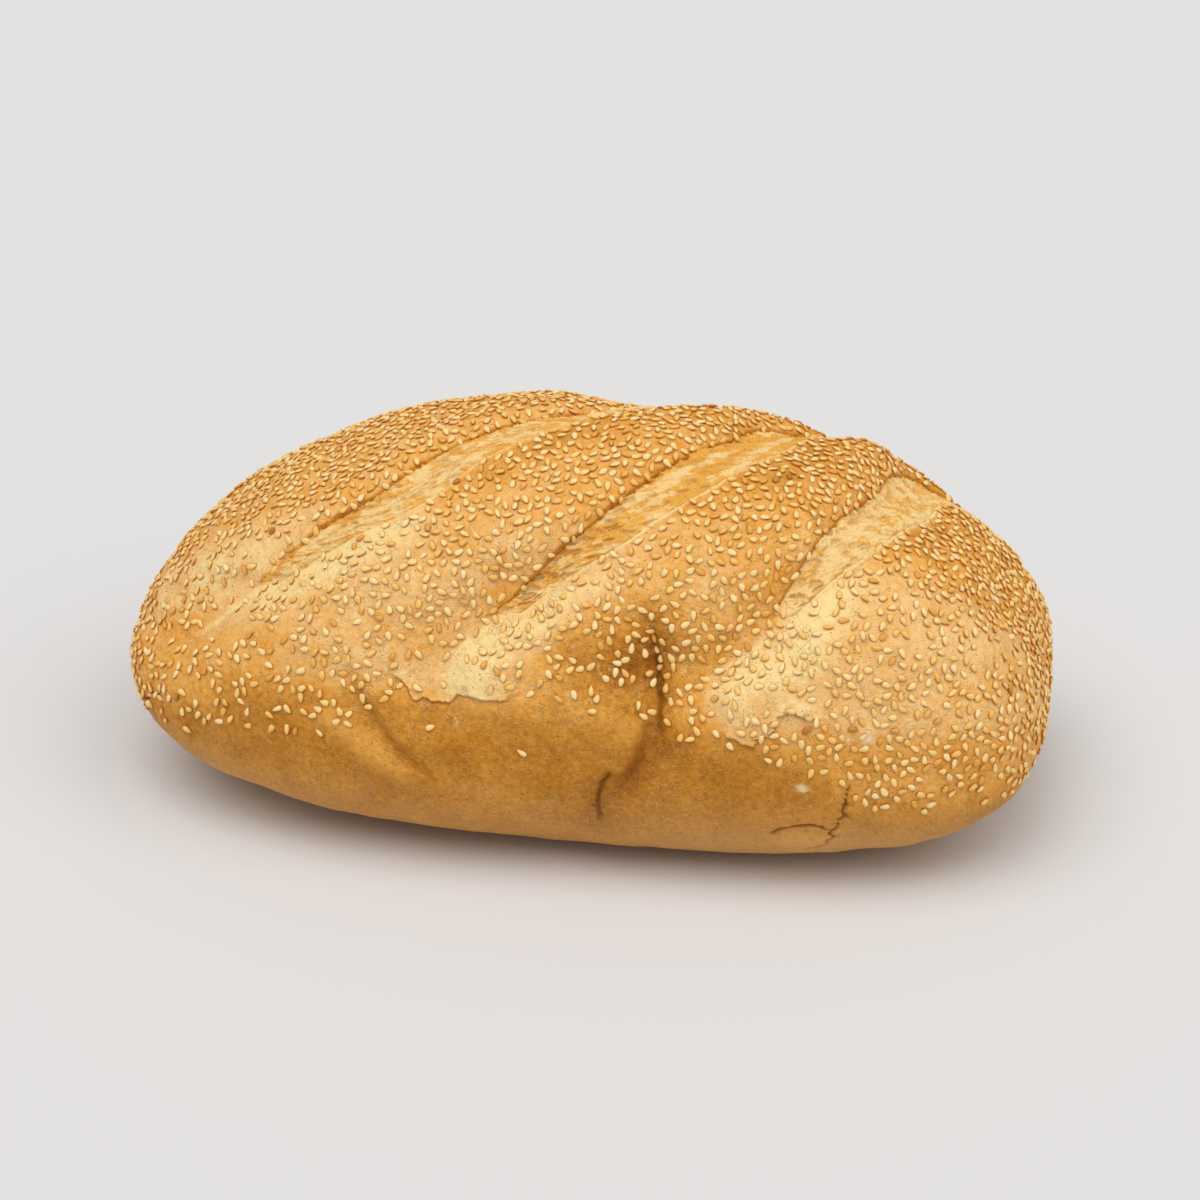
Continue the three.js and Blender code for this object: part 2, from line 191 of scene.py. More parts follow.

# Folds and cracks as lines of (x, angle), with their half width and depth in mm, how dark they are
# painted (partly browner crust, partly painted shade in the groove), how much darker the skin beside
# them is painted and how jagged they are.
CLEFTS = [
    {
        "track": [(32, 53), (33, 58), (34, 61), (35, 66), (36, 71), (36, 76), (36, 80)],
        "width": 0.95, "depth": 1.7, "dark": 0.65, "darkening_beside": 0.22,
    },
    {
        "track": [(34, 75), (32, 80), (31, 83), (29, 87), (26, 93)],
        "width": 1.5, "depth": 1.3, "dark": 0.35, "darkening_beside": 0.14,
    },
    {
        "track": [(22, 88), (20, 91), (18, 95), (18, 99), (18, 104)],
        "width": 0.8, "depth": 1.5, "dark": 0.6, "darkening_beside": 0.12,
    },
    {
        "track": [(-61, 68), (-59, 72), (-55, 77), (-51, 82), (-46, 86), (-41, 89), (-34, 93)],
        "width": 2.0, "depth": 1.3, "dark": 0.22,
    },
    {
        "track": [
            (95, 87), (94, 90), (93, 92), (93, 94), (92, 96), (92, 98), (91, 101), (89, 104), (89, 107),
        ],
        "width": 0.42, "depth": 1.1, "dark": 0.9, "jagged": 1.0,
    },
    {
        "track": [(71, 104), (73, 102), (76, 101), (80, 100), (84, 100), (87, 101), (90, 102)],
        "width": 0.55, "depth": 1.2, "dark": 0.9, "jagged": 0.5,
    },
    {
        "track": [(90, 103), (87, 108), (83, 111), (79, 113)],
        "width": 0.4, "depth": 0.7, "dark": 0.6, "jagged": 0.7,
    },
    {
        "track": [(-136, 95), (-133, 90), (-130, 88), (-128, 88), (-126, 91)],
        "width": 0.5, "depth": 1.0, "dark": 0.9, "jagged": 0.6,
    },
]
JOG = 0.45  # how far the line of a fold or crack wanders, and in waves of what size
JOG_SIZE = 2.3
DARKENING_REACH = 6
# Raised folds beside them, as lines of (x, angle), with their half width and rise in mm. Their
# skin is painted paler, a painted highlight.
RIDGES = [
    {"track": [(-66, 81), (-60, 84), (-54, 87), (-48, 90), (-42, 93)], "width": 4.5, "rise": 1.3},
    {"track": [(29, 78), (27, 83), (24, 87)], "width": 4.0, "rise": 1.0},
    {"track": [(75, 106), (87, 106)], "width": 4.5, "rise": 0.7},
    {"track": [(41, 64), (42, 74)], "width": 4.0, "rise": 0.8},
]
# Edges where the pale top skin ends in a ragged step over the browner skin below it.
FLAKES = [
    [
        (-51, 69), (-45, 71), (-42, 73), (-40, 75), (-34, 75),
        (-29, 75), (-26, 73), (-18, 73), (-12, 73), (-5, 71),
    ],
    [
        (52, 75), (57, 77), (62, 78), (65, 79), (67, 77), (69, 76),
        (71, 74), (72, 71), (76, 70), (80, 71), (87, 71),
    ],
]
FLAKE_RISE = 0.85
FLAKE_REACH = 9  # how far up the skin the step fades out
FLAKE_ENDS = 8  # over what length it starts and ends
# Pale spots where flour stuck, as x, angle and half width in mm.
FLOUR_SPOTS = ((98, 75, 2.9), (93, 76, 1.6), (80, 89, 2.3))

# Patches of the skin, as the x and the angle of their middle and how far they reach, in mm and in
# degrees.
FRONT_MIDDLE = (24, 65, 22, 14)
LEFT_SHOULDER = (-112, 32, 42, 24)
# Patches that bake paler, where the number is below 0, or darker.
BAKED_PATCHES = (
    # The three paler patches at x -100, -108 and 66 brighten valley flanks that face the light: partly paler
    # skin, partly painted light.
    ((-100, 44, 34, 18), -0.10),
    ((-60, 6, 50, 22), -0.10),
    ((-108, 46, 20, 12), -0.16),
    ((66, 60, 18, 12), -0.12),
    (FRONT_MIDDLE, 0.36),
)
# How baked the skin is, from 0 palest to 1 darkest, over the top, low down and on a torn fringe.
TOP_BAKE = 0.53
LOW_BAKE = 0.78
FRINGE_BAKE = 0.08
# What the other features add to that, and the marks of the fine relief.
BAKE_OF = {"pale": -0.18, "hollow": 0.12, "roasted": 0.12, "pale_lit_flank": -0.36, "seam": -0.3}
# The raised folds are painted paler, a painted highlight.
BAKE_OF_MARKS = {"top_skin": -0.26, "ridge_highlight": -0.16, "darkening_beside": 1.0}
# Share of the seeds that is missing on each feature.
SPARSE = {
    "pale": 0.20,
    "front": 0.36,
    "left": 0.16,
    "hollow": 0.12,
    "middle": 0.25,
    "steep": 0.6,
    "top_skin": 0.6,
}
STRAY_SEEDS = 0.004  # how thickly single seeds lie below the line
# Four angles between which something starts, is full, begins to fade and has gone.
STEEP_SPAN = (48, 56, 78, 90)
SHOULDER_SPAN = (20, 44, 70, 80)
SEAM_SPAN = (42, 50, 60, 72)

# How finely the skin is divided. Sides: an angle, and how many degrees apart they are there.
SIDE_SPACING = ((-180, 6.0), (-130, 3.2), (-60, 1.5), (-30, 1.0), (104, 1.0), (130, 3.4), (180, 6.0))
LEFT_RINGS = 96
RIGHT_RINGS = 52
LOBE_RINGS = 36
FINE_CUTS = 4  # how many times a cell is divided each way near a fold, crack, flake or spot
FINE_REACH = 3.0

# The torn crumb, in mm: what crosses its floor, how large it is and how far it rises or sinks.
CRUMB_SPACING = 0.36
CRUMB_UNDER_LIP = 1.0  # how far it runs on below the lip and past the edge
CRUMB_PAST_EDGE = 0.9
CRUMB_MARGIN = 2.4  # added to its width when its rows are divided
BEND_SIZE = 2.6
BEND = 0.9
BAND_SIZE = 3.2
ARC_PATCH_SIZE = 2.4
FOLD_SIZE = 4.5
FOLD_RISE = 0.4
STRAND_SIZE = 1.7
STRAND_RISE = 0.3
WEB_SIZE = 2.1
WEB_RISE = 0.5
FINE_WEB_SIZE = 1.0
FINE_WEB_RISE = 0.2
PIT_DEPTH = 0.7
FINE_PIT_DEPTH = 0.18
CRUMB_LIFT = 0.25  # how high the crumb lies over the torn floor
CRUMB_EDGE_TUCK = 1.9  # how far it dips below the crust at its edge and at a slash's ends
CRUMB_END_TUCK = 2.0
CRUMB_SWELL = 0.5  # its rise along the middle
# How golden the crumb's bands, strands and arcs are, its lip and edge lines, and what is taken off all.
GOLDEN_OF = {"bands": 0.8, "strands": 0.3, "arcs": 0.85, "lip": 0.75, "edge": 0.25, "less": 0.3}


# ------------------------------------------------------------------ helpers for shapes


def smoothstep(start, end, value):
    t = np.clip((value - start) / (end - start), 0, 1)
    return t * t * (3 - 2 * t)


def span(angles, angle):
    """0 outside the four angles, 1 between the middle two."""
    start, full, fading, end = angles
    return smoothstep(start, full, angle) * (1 - smoothstep(fading, end, angle))


def bell(value, width):
    return np.exp(-((value / width) ** 2))


def lattice_noise(points, size, seed):
    """Smooth noise from -1 to 1, in bumps about as wide as size."""
    scaled = points / size
    corner = np.floor(scaled).astype(np.int64)
    part = scaled - corner
    part = part**3 * (part * (part * 6 - 15) + 10)
    total = np.zeros(len(points))
    for step in itertools.product((0, 1), repeat=3):
        cell = (corner + step) * (73856093, 19349663, 83492791)
        bits = (cell[:, 0] ^ cell[:, 1] ^ cell[:, 2]) + seed * 668265263
        bits = ((bits ^ (bits >> 15)) * 2246822519) & 0xFFFFFFFF
        bits = ((bits ^ (bits >> 13)) * 3266489917) & 0xFFFFFFFF
        value = ((bits ^ (bits >> 16)) & 0xFFFF) / 32767.5 - 1
        total += value * np.prod(np.where(step, part, 1 - part), axis=1)
    return total


def layered_noise(points, layers, number=0):
    """Noise in several layers, each with its width, its depth and which noise it takes."""
    return sum(depth * lattice_noise(points, size, seed + number) for size, depth, seed in layers)


def path_x(path, angle):
    """x on a closed path at an angle, by smooth interpolation between the path's points."""
    angles = np.array([point[0] for point in path], float)
    places = np.array([point[1] for point in path], float)
    angles = np.concatenate([angles - 360, angles, angles + 360])
    places = np.tile(places, 3)
    turned = np.where(angle < path[0][0], angle + 360, angle)
    i = np.searchsorted(angles, turned) - 1
    width = angles[i + 1] - angles[i]
    start_slope = (places[i + 1] - places[i - 1]) / (angles[i + 1] - angles[i - 1]) * width
    end_slope = (places[i + 2] - places[i]) / (angles[i + 2] - angles[i]) * width
    t = (turned - angles[i]) / width
    return (
        (2 * t**3 - 3 * t**2 + 1) * places[i]
        + (t**3 - 2 * t**2 + t) * start_slope
        + (3 * t**2 - 2 * t**3) * places[i + 1]
        + (t**3 - t**2) * end_slope
    )


def wrapped(angle):
    return (angle + 180) % 360 - 180


def path_stretch(path, angle):
    """How much longer a step along X is than the step straight across a path."""
    slope = (path_x(path, wrapped(angle + 1)) - path_x(path, wrapped(angle - 1))) / 2
    return np.hypot(1, slope / MM_PER_DEGREE)


# ------------------------------------------------------------------ the plain body


def body_field(x, y, z):
    """Below 0 inside the plain body, 0 on its skin, above 0 outside."""
    along = x / HALF_LENGTH
    across = y / (HALF_WIDTH * (1 + WIDTH_TAPER * along))
    power = np.where(along < 0, LEFT_POWER, RIGHT_POWER)
    plan = (np.abs(along) ** power + np.abs(across) ** power) ** (1 / power)
    up = z - BELLY_HEIGHT
    crown = (HEIGHT - BELLY_HEIGHT) * (1 + HEIGHT_TAPER * along + END_DROP * along**2)
    above = plan**CROWN_POWER + np.abs(up / crown) ** CROWN_POWER - 1
    below = plan**UNDER_POWER + np.abs(up / (BELLY_HEIGHT + SINK)) ** UNDER_POWER - 1
    return np.where(up > 0, above, below)


def body_point(x, angle):
    """The plain body's skin: a point on the ray that leaves the belly axis at x and the angle."""
    turn = np.radians(angle)
    inside = np.zeros_like(x)
    outside = np.full_like(x, 2.0 * HEIGHT)
    for _ in range(32):
        middle = (inside + outside) / 2
        is_in = body_field(x, -np.sin(turn) * middle, BELLY_HEIGHT + np.cos(turn) * middle) < 0
        inside = np.where(is_in, middle, inside)
        outside = np.where(is_in, outside, middle)
    return np.stack([x, -np.sin(turn) * inside, BELLY_HEIGHT + np.cos(turn) * inside], axis=-1)


def body_normal(points):
    step = 0.5
    slopes = []
    for axis in range(3):
        ahead = points.copy()
        behind = points.copy()
        ahead[:, axis] += step
        behind[:, axis] -= step
        slopes.append(body_field(*ahead.T) - body_field(*behind.T))
    normal = np.stack(slopes, axis=-1)
    return normal / np.linalg.norm(normal, axis=1, keepdims=True)


# ------------------------------------------------------------------ slashes, valleys and crease


def slash_sides(number, angle):
    """Offsets of a slash's ragged lip and of its edge from its path."""
    slash = SLASHES[number]
    half = slash["half_width"] * (NARROW + (1 - NARROW) * span(slash["wide"], angle))
    track = np.stack([angle * MM_PER_DEGREE, np.zeros_like(angle), np.zeros_like(angle)], axis=-1)
    torn = span(slash["open"], angle)
    lip = torn * layered_noise(track, RAGGED_LIP, number)
    edge = torn * layered_noise(track, RAGGED_EDGE, number)
    return -half + lip, half + edge


def slash_offset(slash, x, angle):
    """Distance straight across a slash's path, negative on the side of the lip."""
    return (x - path_x(slash["path"], angle)) / path_stretch(slash["path"], angle)


def across_slash(slash, angle, normal):
    """Unit vectors along the skin and straight across a slash, from its lip to its edge."""
    ahead = body_point(path_x(slash["path"], angle + 0.5), angle + 0.5)
    behind = body_point(path_x(slash["path"], angle - 0.5), angle - 0.5)
    along = ahead - behind
    across = np.cross(normal, along)
    across /= np.linalg.norm(across, axis=1, keepdims=True)
    return across * np.sign(across[:, :1])


def floor_depth(slash, from_lip):
    """Depth of the torn floor, deep at the lip, where from_lip is 0, and shallow at the edge."""
    return EDGE_DEPTH + (slash["depth"] - EDGE_DEPTH) * (1 - np.clip(from_lip, 0, 1) ** FLOOR_POWER)


def valley_bell(offset):
    return np.where(offset < 0, bell(offset, VALLEY_WIDTHS[0]), bell(offset, VALLEY_WIDTHS[1]))


def valley_relief(slash, offset, angle):
    return -VALLEY_DEPTH * span(slash["valley"], angle) * valley_bell(offset)


def dip_relief(slash, offset, angle):
    """The broad notch in which a slash runs over the top, as the skyline shows."""
    widths = np.where(offset < 0, *slash["dip_widths"])
    return -slash["dip_depth"] * span(slash["dip"], angle) * bell(offset, widths)


def lobe_relief(x, angle):
    """The crust swells between two neighbouring slashes, over the top of the loaf."""
    rise = np.zeros_like(x)
    for left, right, height in zip(SLASHES, SLASHES[1:], LOBE_RISES):
        start = path_x(left["path"], angle)
        across = np.clip((x - start) / (path_x(right["path"], angle) - start), 0, 1)
        rise += height * np.sin(np.pi * across) ** 2
    return rise * span(LOBE_SPAN, angle)


def crease_offset(x, angle):
    return x - path_x(CREASE_PATH, angle)


def crease_relief(x, angle):
    return -CREASE_DEPTH * span(CREASE_SPAN, angle) * bell(crease_offset(x, angle), CREASE_WIDTH)


def seed_line(x):
    """Lowest height at which seeds stick, at a given x."""
    along = x / HALF_LENGTH
    left = SEED_LINE_STEP * smoothstep(0.29, 0.36, -along)
    left += SEED_LINE_DROP_LEFT * smoothstep(0.36, 0.95, -along)
    return SEED_LINE_HEIGHT - left - SEED_LINE_DROP_RIGHT * smoothstep(0.15, 0.88, along)


def brown_line(x):
    """Height below which the crust is browner, at a given x."""
    left = BROWN_LINE_DROP_LEFT * smoothstep(0.45, 1, -x / HALF_LENGTH)
    right = BROWN_LINE_DROP_RIGHT * smoothstep(0.35, 0.8, x / HALF_LENGTH)
    return SEED_LINE_HEIGHT - left - right


# ------------------------------------------------------------------ folds, cracks and flakes


def track_distance(track, x, angle):
    """Distance along the skin from places to a line of (x, angle), and how far along the line they are."""
    corners = np.array(track, float) * (1, MM_PER_DEGREE)
    here = np.stack([x, angle * MM_PER_DEGREE], axis=-1)
    lengths = np.linalg.norm(np.diff(corners, axis=0), axis=1)
    nearest = np.full(len(x), np.inf)
    share = np.zeros(len(x))
    for i, (start, end) in enumerate(zip(corners, corners[1:])):
        along = np.clip((here - start) @ (end - start) / lengths[i] ** 2, 0, 1)
        distance = np.linalg.norm(here - start - along[:, None] * (end - start), axis=1)
        is_nearer = distance < nearest
        nearest = np.where(is_nearer, distance, nearest)
        share = np.where(is_nearer, (lengths[:i].sum() + along * lengths[i]) / lengths.sum(), share)
    return nearest, share


def spot_distance(spot, x, angle):
    return np.hypot(x - spot[0], (angle - spot[1]) * MM_PER_DEGREE)


def needs_fine_mesh(x, angle):
    """True near a fold, a crack, a flake's edge or a spot of flour."""
    tracks = [cleft["track"] for cleft in CLEFTS] + FLAKES
    near = [track_distance(track, x, angle)[0] < FINE_REACH for track in tracks]
    near += [spot_distance(spot, x, angle) < FINE_REACH for spot in FLOUR_SPOTS]
    return np.any(near, axis=0)


def fine_marks(x, angle):
    """Relief of the folds, cracks and flakes, with marks of where they change the finish."""
    flat = np.stack([x, angle * MM_PER_DEGREE, np.zeros_like(x)], axis=-1)
    jog = JOG * lattice_noise(flat, JOG_SIZE, 61)
    jog_angle = JOG * lattice_noise(flat, JOG_SIZE, 62) / MM_PER_DEGREE
    relief = np.zeros_like(x)
    marks = {name: np.zeros_like(x) for name in ("dark", "ridge_highlight", "darkening_beside", "top_skin", "floured")}

    def mark(name, share):
        marks[name] = np.maximum(marks[name], share)

    for cleft in CLEFTS:
        jagged = 1 + 1.4 * cleft.get("jagged", 0)
        distance, share = track_distance(cleft["track"], x + jagged * jog, angle + jagged * jog_angle)
        cut = span((0, 0.12, 0.85, 1), share) * bell(distance, cleft["width"])
        relief -= cleft["depth"] * cut
        # Dark paint in the groove: partly the browner crust of a fold, partly painted shade.
        mark("dark", cleft["dark"] * cut)
        # The skin beside a fold or crack is painted darker.
        mark("darkening_beside", cleft.get("darkening_beside", 0) * bell(distance, DARKENING_REACH))
    for ridge in RIDGES:
        swell = bell(track_distance(ridge["track"], x, angle)[0], ridge["width"])
        relief += ridge["rise"] * swell
        # A painted highlight: the skin on a raised fold is painted paler.
        mark("ridge_highlight", swell)
    for flake in FLAKES:
        edge_x, edge_angle = np.array(flake, float).T
        above = (np.interp(x, edge_x, edge_angle) - angle) * MM_PER_DEGREE
        above += layered_noise(flat, RAGGED_FLAKES)
        window = span((edge_x[0], edge_x[0] + FLAKE_ENDS, edge_x[-1] - FLAKE_ENDS, edge_x[-1]), x)
        skin = window * smoothstep(-0.3, 0.3, above) * np.exp(-np.maximum(above, 0) / FLAKE_REACH)
        relief += FLAKE_RISE * skin
        mark("top_skin", skin)
        # A dark line at the foot of the flake's step: painted shade under the step.
        mark("dark", 0.5 * window * bell(above + 0.5, 0.5))
    for spot in FLOUR_SPOTS:
        distance = spot_distance(spot, x, angle) + layered_noise(flat, RAGGED_FLOUR)
        mark("floured", 1 - smoothstep(0.4 * spot[2], spot[2], distance))
    return relief, marks


# ------------------------------------------------------------------ the crust's skin


def torn_relief(slash, past_lip, past_edge, width):
    """Relief across an open slash: its rolled lip, its floor below the crumb and its low fringed edge."""
    swell = LIP_RISE * bell(past_lip + LIP_WIDTH, LIP_WIDTH)
    beside = swell - LIP_ROLL * np.exp(np.minimum(past_lip, 0) / LIP_ROLL_WIDTH)
    wall = smoothstep(0, LIP_WALL, past_lip)
    room = CRUMB_ROOM * (1 - smoothstep(-2.6, -0.6, past_edge))
    floor = floor_depth(slash, past_lip / width) + room
    inside = -wall * floor - (1 - wall) * LIP_ROLL
    outside = -EDGE_DEPTH * np.exp(-np.maximum(past_edge, 0) / EDGE_FADE)
    torn = np.where(past_lip < 0, beside, np.where(past_edge > 0, outside, inside))
    return torn + FRINGE_RISE * bell(past_edge - 0.5, FRINGE_WIDTH)


def lip_lean(past_lip):
    """How far the torn lip leans over the floor, and the wall below it back."""
    over = span((-2.6, 0, 0, 0.5 * LIP_WALL), past_lip)
    under = np.sin(np.pi * np.clip(past_lip / LIP_WALL, 0, 1))
    return LIP_OVERHANG * over - LIP_UNDERCUT * under


def slash_parts(slash, angle, offset, past_lip, past_edge):
    """The parts of one slash that the finish and the seeds follow, each from 0 to 1."""
    is_open = smoothstep(0.02, 0.3, span(slash["open"], angle))
    return {
        "lip": is_open * span((-1.1, 0, 1, 2), past_lip),
        "fringe": is_open * span((-1.8, -0.6, 0.1, 1), past_edge),
        "roasted": is_open * span((0.8, 2.5, 7, 18), past_edge),
        "bare": is_open * (past_lip > -0.1) * (1 - smoothstep(0.2, 0.8, past_edge)),
        "slashed": is_open * (past_lip > -0.2) * (past_edge < 0),
        # The flank beyond the edge, facing the light: partly paler stretched skin, partly painted light.
        "pale_lit_flank": span(slash["lit_flank_span"], angle) * span((0, 5, 9, 22), offset),
        # The side of the valley below the lip, which turns away from the light.
        "hollow": span(slash["valley"], angle) * bell(offset + 5, 7),
        "seam": span(SEAM_SPAN, angle) * bell(offset - 0.5, 1.1),
    }


def crust_shape(x, angle):
    """Points of the finished crust, with the masks that its finish and its seeds follow."""
    point = body_point(x, angle)
    normal = body_normal(point)
    height = point[:, 2]
    lifted = smoothstep(0, TABLE_FADE, height)
    relief = lobe_relief(x, angle) + crease_relief(x, angle)
    shift = np.zeros_like(point)
    parts = {}
    for number, slash in enumerate(SLASHES):
        opened = span(slash["open"], angle)
        lip_at, edge_at = slash_sides(number, angle)
        offset = slash_offset(slash, x, angle)
        past_lip = offset - lip_at
        past_edge = offset - edge_at
        torn = torn_relief(slash, past_lip, past_edge, edge_at - lip_at)
        relief += valley_relief(slash, offset, angle) + dip_relief(slash, offset, angle) + opened * torn
        shift += across_slash(slash, angle, normal) * (opened * lip_lean(past_lip))[:, None]
        for name, share in slash_parts(slash, angle, offset, past_lip, past_edge).items():
            parts[name] = np.maximum(parts.get(name, 0), share)

    crust = 1 - parts["slashed"]
    for size, depth, seed in SWELLS:
        relief += depth * crust * lattice_noise(point, size, seed)
    to_left = 0.4 + 0.6 * smoothstep(60, -60, x)
    front = span(SHOULDER_SPAN, angle) * (1 - 0.75 * smoothstep(-60, -90, x) * smoothstep(54, 66, angle))
    parts["pale"] = front * np.maximum(to_left, smoothstep(52, 88, x))
    wrinkle = 1 - 2 * np.abs(lattice_noise(point * (1, 1, 1.3), WRINKLE_SIZE, 5))
    relief += WRINKLE_DEPTH * crust * (0.25 + 0.75 * (front * to_left)) * wrinkle
    fine_relief, marks = fine_marks(x, angle)
    relief += fine_relief

    point = point + normal * (relief * lifted)[:, None] + shift * lifted[:, None]
    point[:, 2] = np.maximum(point[:, 2], 0)

    uneven = layered_noise(point, UNEVEN_LINES)
    low = 1 - smoothstep(-8, 7, height - brown_line(x) + uneven)
    to_ends = np.maximum(smoothstep(10, 80, x), smoothstep(-50, -110, x))
    seeding = seed_share(x, angle, height - seed_line(x) + uneven, parts)
    masks = {
        "bake": bake_mask(x, angle, low, parts, marks),
        # The torn lip and the wall below it: partly real toasting, partly painted shade under the lip.
        "lip_toast_and_shade": parts["lip"],
        "cleft": marks["dark"],
        "shoulder": np.maximum(parts["pale"], parts["pale_lit_flank"]),
        "band": low,
        # Paler just above the table: partly paler skin, partly painted light bounced from the bright floor.
        "tan": low * smoothstep(42, 6, height) * (0.6 + 0.4 * to_ends),
        "floured": marks["floured"],
        "seeding": seeding * (1 - SPARSE["top_skin"] * marks["top_skin"]) * (1 - parts["bare"]),
    }
    return point, masks


def patch(place, x, angle):
    """1 in the middle of a patch of skin, fading out around it."""
    middle, middle_angle, reach, reach_angle = place
    return bell(x - middle, reach) * bell(angle - middle_angle, reach_angle)


def bake_mask(x, angle, low, parts, marks):
    """How baked the skin is, from 0 palest to 1 darkest."""
    # Painted shade: the valley's hollow beside the lip bakes darker.
    bake = TOP_BAKE + BAKE_OF["pale"] * parts["pale"] + BAKE_OF["hollow"] * parts["hollow"]
    for place, change in BAKED_PATCHES:
        bake += change * patch(place, x, angle)
    bake += BAKE_OF["roasted"] * parts["roasted"] * (1 - smoothstep(10, 36, angle))
    bake = bake * (1 - low) + LOW_BAKE * low
    # The lit flank bakes paler: partly paler stretched skin, partly painted light.
    bake += BAKE_OF["pale_lit_flank"] * parts["pale_lit_flank"] * (1 - low)
    for name, change in BAKE_OF_MARKS.items():
        bake += change * marks[name]
    return bake * (1 - parts["fringe"]) + FRINGE_BAKE * parts["fringe"] + BAKE_OF["seam"] * parts["seam"]


def seed_share(x, angle, above_line, parts):
    """How thickly the seeds lie, from none at 0 to as close as they come at 1."""
    thin_front = bell(x + 92, 42) * smoothstep(48, 64, angle)
    steep = span(STEEP_SPAN, angle) * bell(slash_offset(SLASHES[0], x, angle) - 4, 6)
    share = 1.0 - SPARSE["pale"] * parts["pale"] - SPARSE["front"] * thin_front
    share -= SPARSE["left"] * patch(LEFT_SHOULDER, x, angle)
    share -= SPARSE["hollow"] * parts["hollow"]
    share -= SPARSE["middle"] * patch(FRONT_MIDDLE, x, angle)
    share *= 1 - SPARSE["steep"] * steep
    share *= 0.5 * smoothstep(-1, 2, above_line) + 0.5 * smoothstep(2, 14, above_line)
    share = np.maximum(share, STRAY_SEEDS * smoothstep(-16, -10, above_line))
    return np.clip(share, 0, 1)


def side_angles():
    """Angles round the loaf, closer together where more of it shows."""
    fine = np.linspace(-180, 180, 7201)
    knots = np.array(SIDE_SPACING, float)
    count = np.cumsum(1 / np.interp(fine, knots[:, 0], knots[:, 1]))
    count = (count - count[0]) / (count[-1] - count[0])
    sides = round(360 * np.mean(1 / np.interp(fine, knots[:, 0], knots[:, 1])))
    return np.interp(np.arange(sides) / sides, count, fine)


def tip_rings(angle, start, tip, rings):
    """x of rings from one x on each side to a tip, evenly spaced along the skin, as columns."""
    steps = 220
    share = np.sin(np.pi / 2 * np.arange(steps + 1) / steps)
    xs = start[:, None] + (tip - start)[:, None] * share
    flat_angle = np.repeat(angle, steps + 1)
    skin = body_point(xs.ravel(), flat_angle).reshape(len(angle), steps + 1, 3)
    lengths = np.linalg.norm(np.diff(skin, axis=1), axis=2)
    lengths = np.concatenate([np.zeros((len(angle), 1)), np.cumsum(lengths, axis=1)], axis=1)
    wanted = np.arange(1, rings + 1) / (rings + 1)
    columns = [np.interp(wanted * length[-1], length, x) for length, x in zip(lengths, xs)]
    return np.array(columns)


def slash_rings(number, angle):
    """x of the rings that follow a slash: its lip, its wall, its floor and its edge."""
    lip_at, edge_at = (side[:, None] for side in slash_sides(number, angle))
    offsets = [
        lip_at + np.linspace(-7, -2.0, 8),
        lip_at + np.linspace(-1.6, LIP_WALL, 14),
        lip_at + LIP_WALL + (edge_at - 2 - lip_at - LIP_WALL) * np.linspace(0, 1, 7)[1:],
        edge_at + np.concatenate([np.linspace(-1.6, 1.6, 9), np.linspace(2.2, 7, 7)]),
    ]
    path = SLASHES[number]["path"]
    return path_x(path, angle)[:, None] + np.concatenate(offsets, axis=1) * path_stretch(path, angle)[:, None]


def ring_places(angle):
    """x of every ring on every side, from the left tip to the right one."""
    groups = [slash_rings(number, angle) for number in range(len(SLASHES))]
    tips = np.full(len(angle), float(HALF_LENGTH))
    columns = [tip_rings(angle, groups[0][:, 0], -tips, LEFT_RINGS)[:, ::-1]]
    for group, following in zip(groups, groups[1:] + [None]):
        columns.append(group)
        if following is None:
            columns.append(tip_rings(angle, group[:, -1], tips, RIGHT_RINGS))
        else:
            share = np.arange(1, LOBE_RINGS + 1) / (LOBE_RINGS + 1)
            columns.append(group[:, -1:] + (following[:, :1] - group[:, -1:]) * share)
    return np.concatenate(columns, axis=1)


def points_between(places, first, last):
    """Adds the places that divide the line between two others, and gives their numbers."""
    start, end = places[first], places[last]
    numbers = list(range(len(places), len(places) + FINE_CUTS - 1))
    for step in range(1, FINE_CUTS):
        share = step / FINE_CUTS
        places.append(tuple(a + (b - a) * share for a, b in zip(start, end)))
    return numbers


def skin_layout():
    """Places on the skin as x and angle, with faces: rings from tip to tip, finer where marks need it."""
    sides = side_angles()
    columns = ring_places(sides).T
    rings, count = columns.shape
    x = columns.ravel()
    angle = np.tile(sides, rings)
    places = list(zip(x.tolist(), angle.tolist()))
    is_near = needs_fine_mesh(x, angle).reshape(rings, count)
    chosen = is_near[:-1, :-1] & is_near[1:, 1:]
    cut_edges = {}

    def edge(first, last):
        """The points from one corner to the next, with those that cut the edge between them."""
        between = cut_edges.get((min(first, last), max(first, last)), [])
        return [first, *(between if first < last else between[::-1])]

    for ring, side in np.argwhere(chosen):
        first = int(ring * count + side)
        corners = [first, first + 1, first + count + 1, first + count]
        for start, end in zip(corners, corners[1:] + corners[:1]):
            key = (min(start, end), max(start, end))
            if key not in cut_edges:
                cut_edges[key] = points_between(places, *key)

    faces = []
    for ring in range(rings - 1):
        for side in range(count):
            first, after = ring * count + side, ring * count + (side + 1) % count
            corners = [first, after, after + count, first + count]
            if side < count - 1 and chosen[ring, side]:
                faces.extend(fine_cell(corners, edge, places))
            else:
                loops = [edge(start, end) for start, end in zip(corners, corners[1:] + corners[:1])]
                faces.append([corner for loop in loops for corner in loop])
    left_tip, right_tip = len(places), len(places) + 1
    places += [(-HALF_LENGTH, 0), (HALF_LENGTH, 0)]
    last = (rings - 1) * count
    for side in range(count):
        after = (side + 1) % count
        faces.append([left_tip, after, side])
        faces.append([right_tip, last + side, last + after])
    x, angle = np.array(places, float).T
    return x, angle, faces


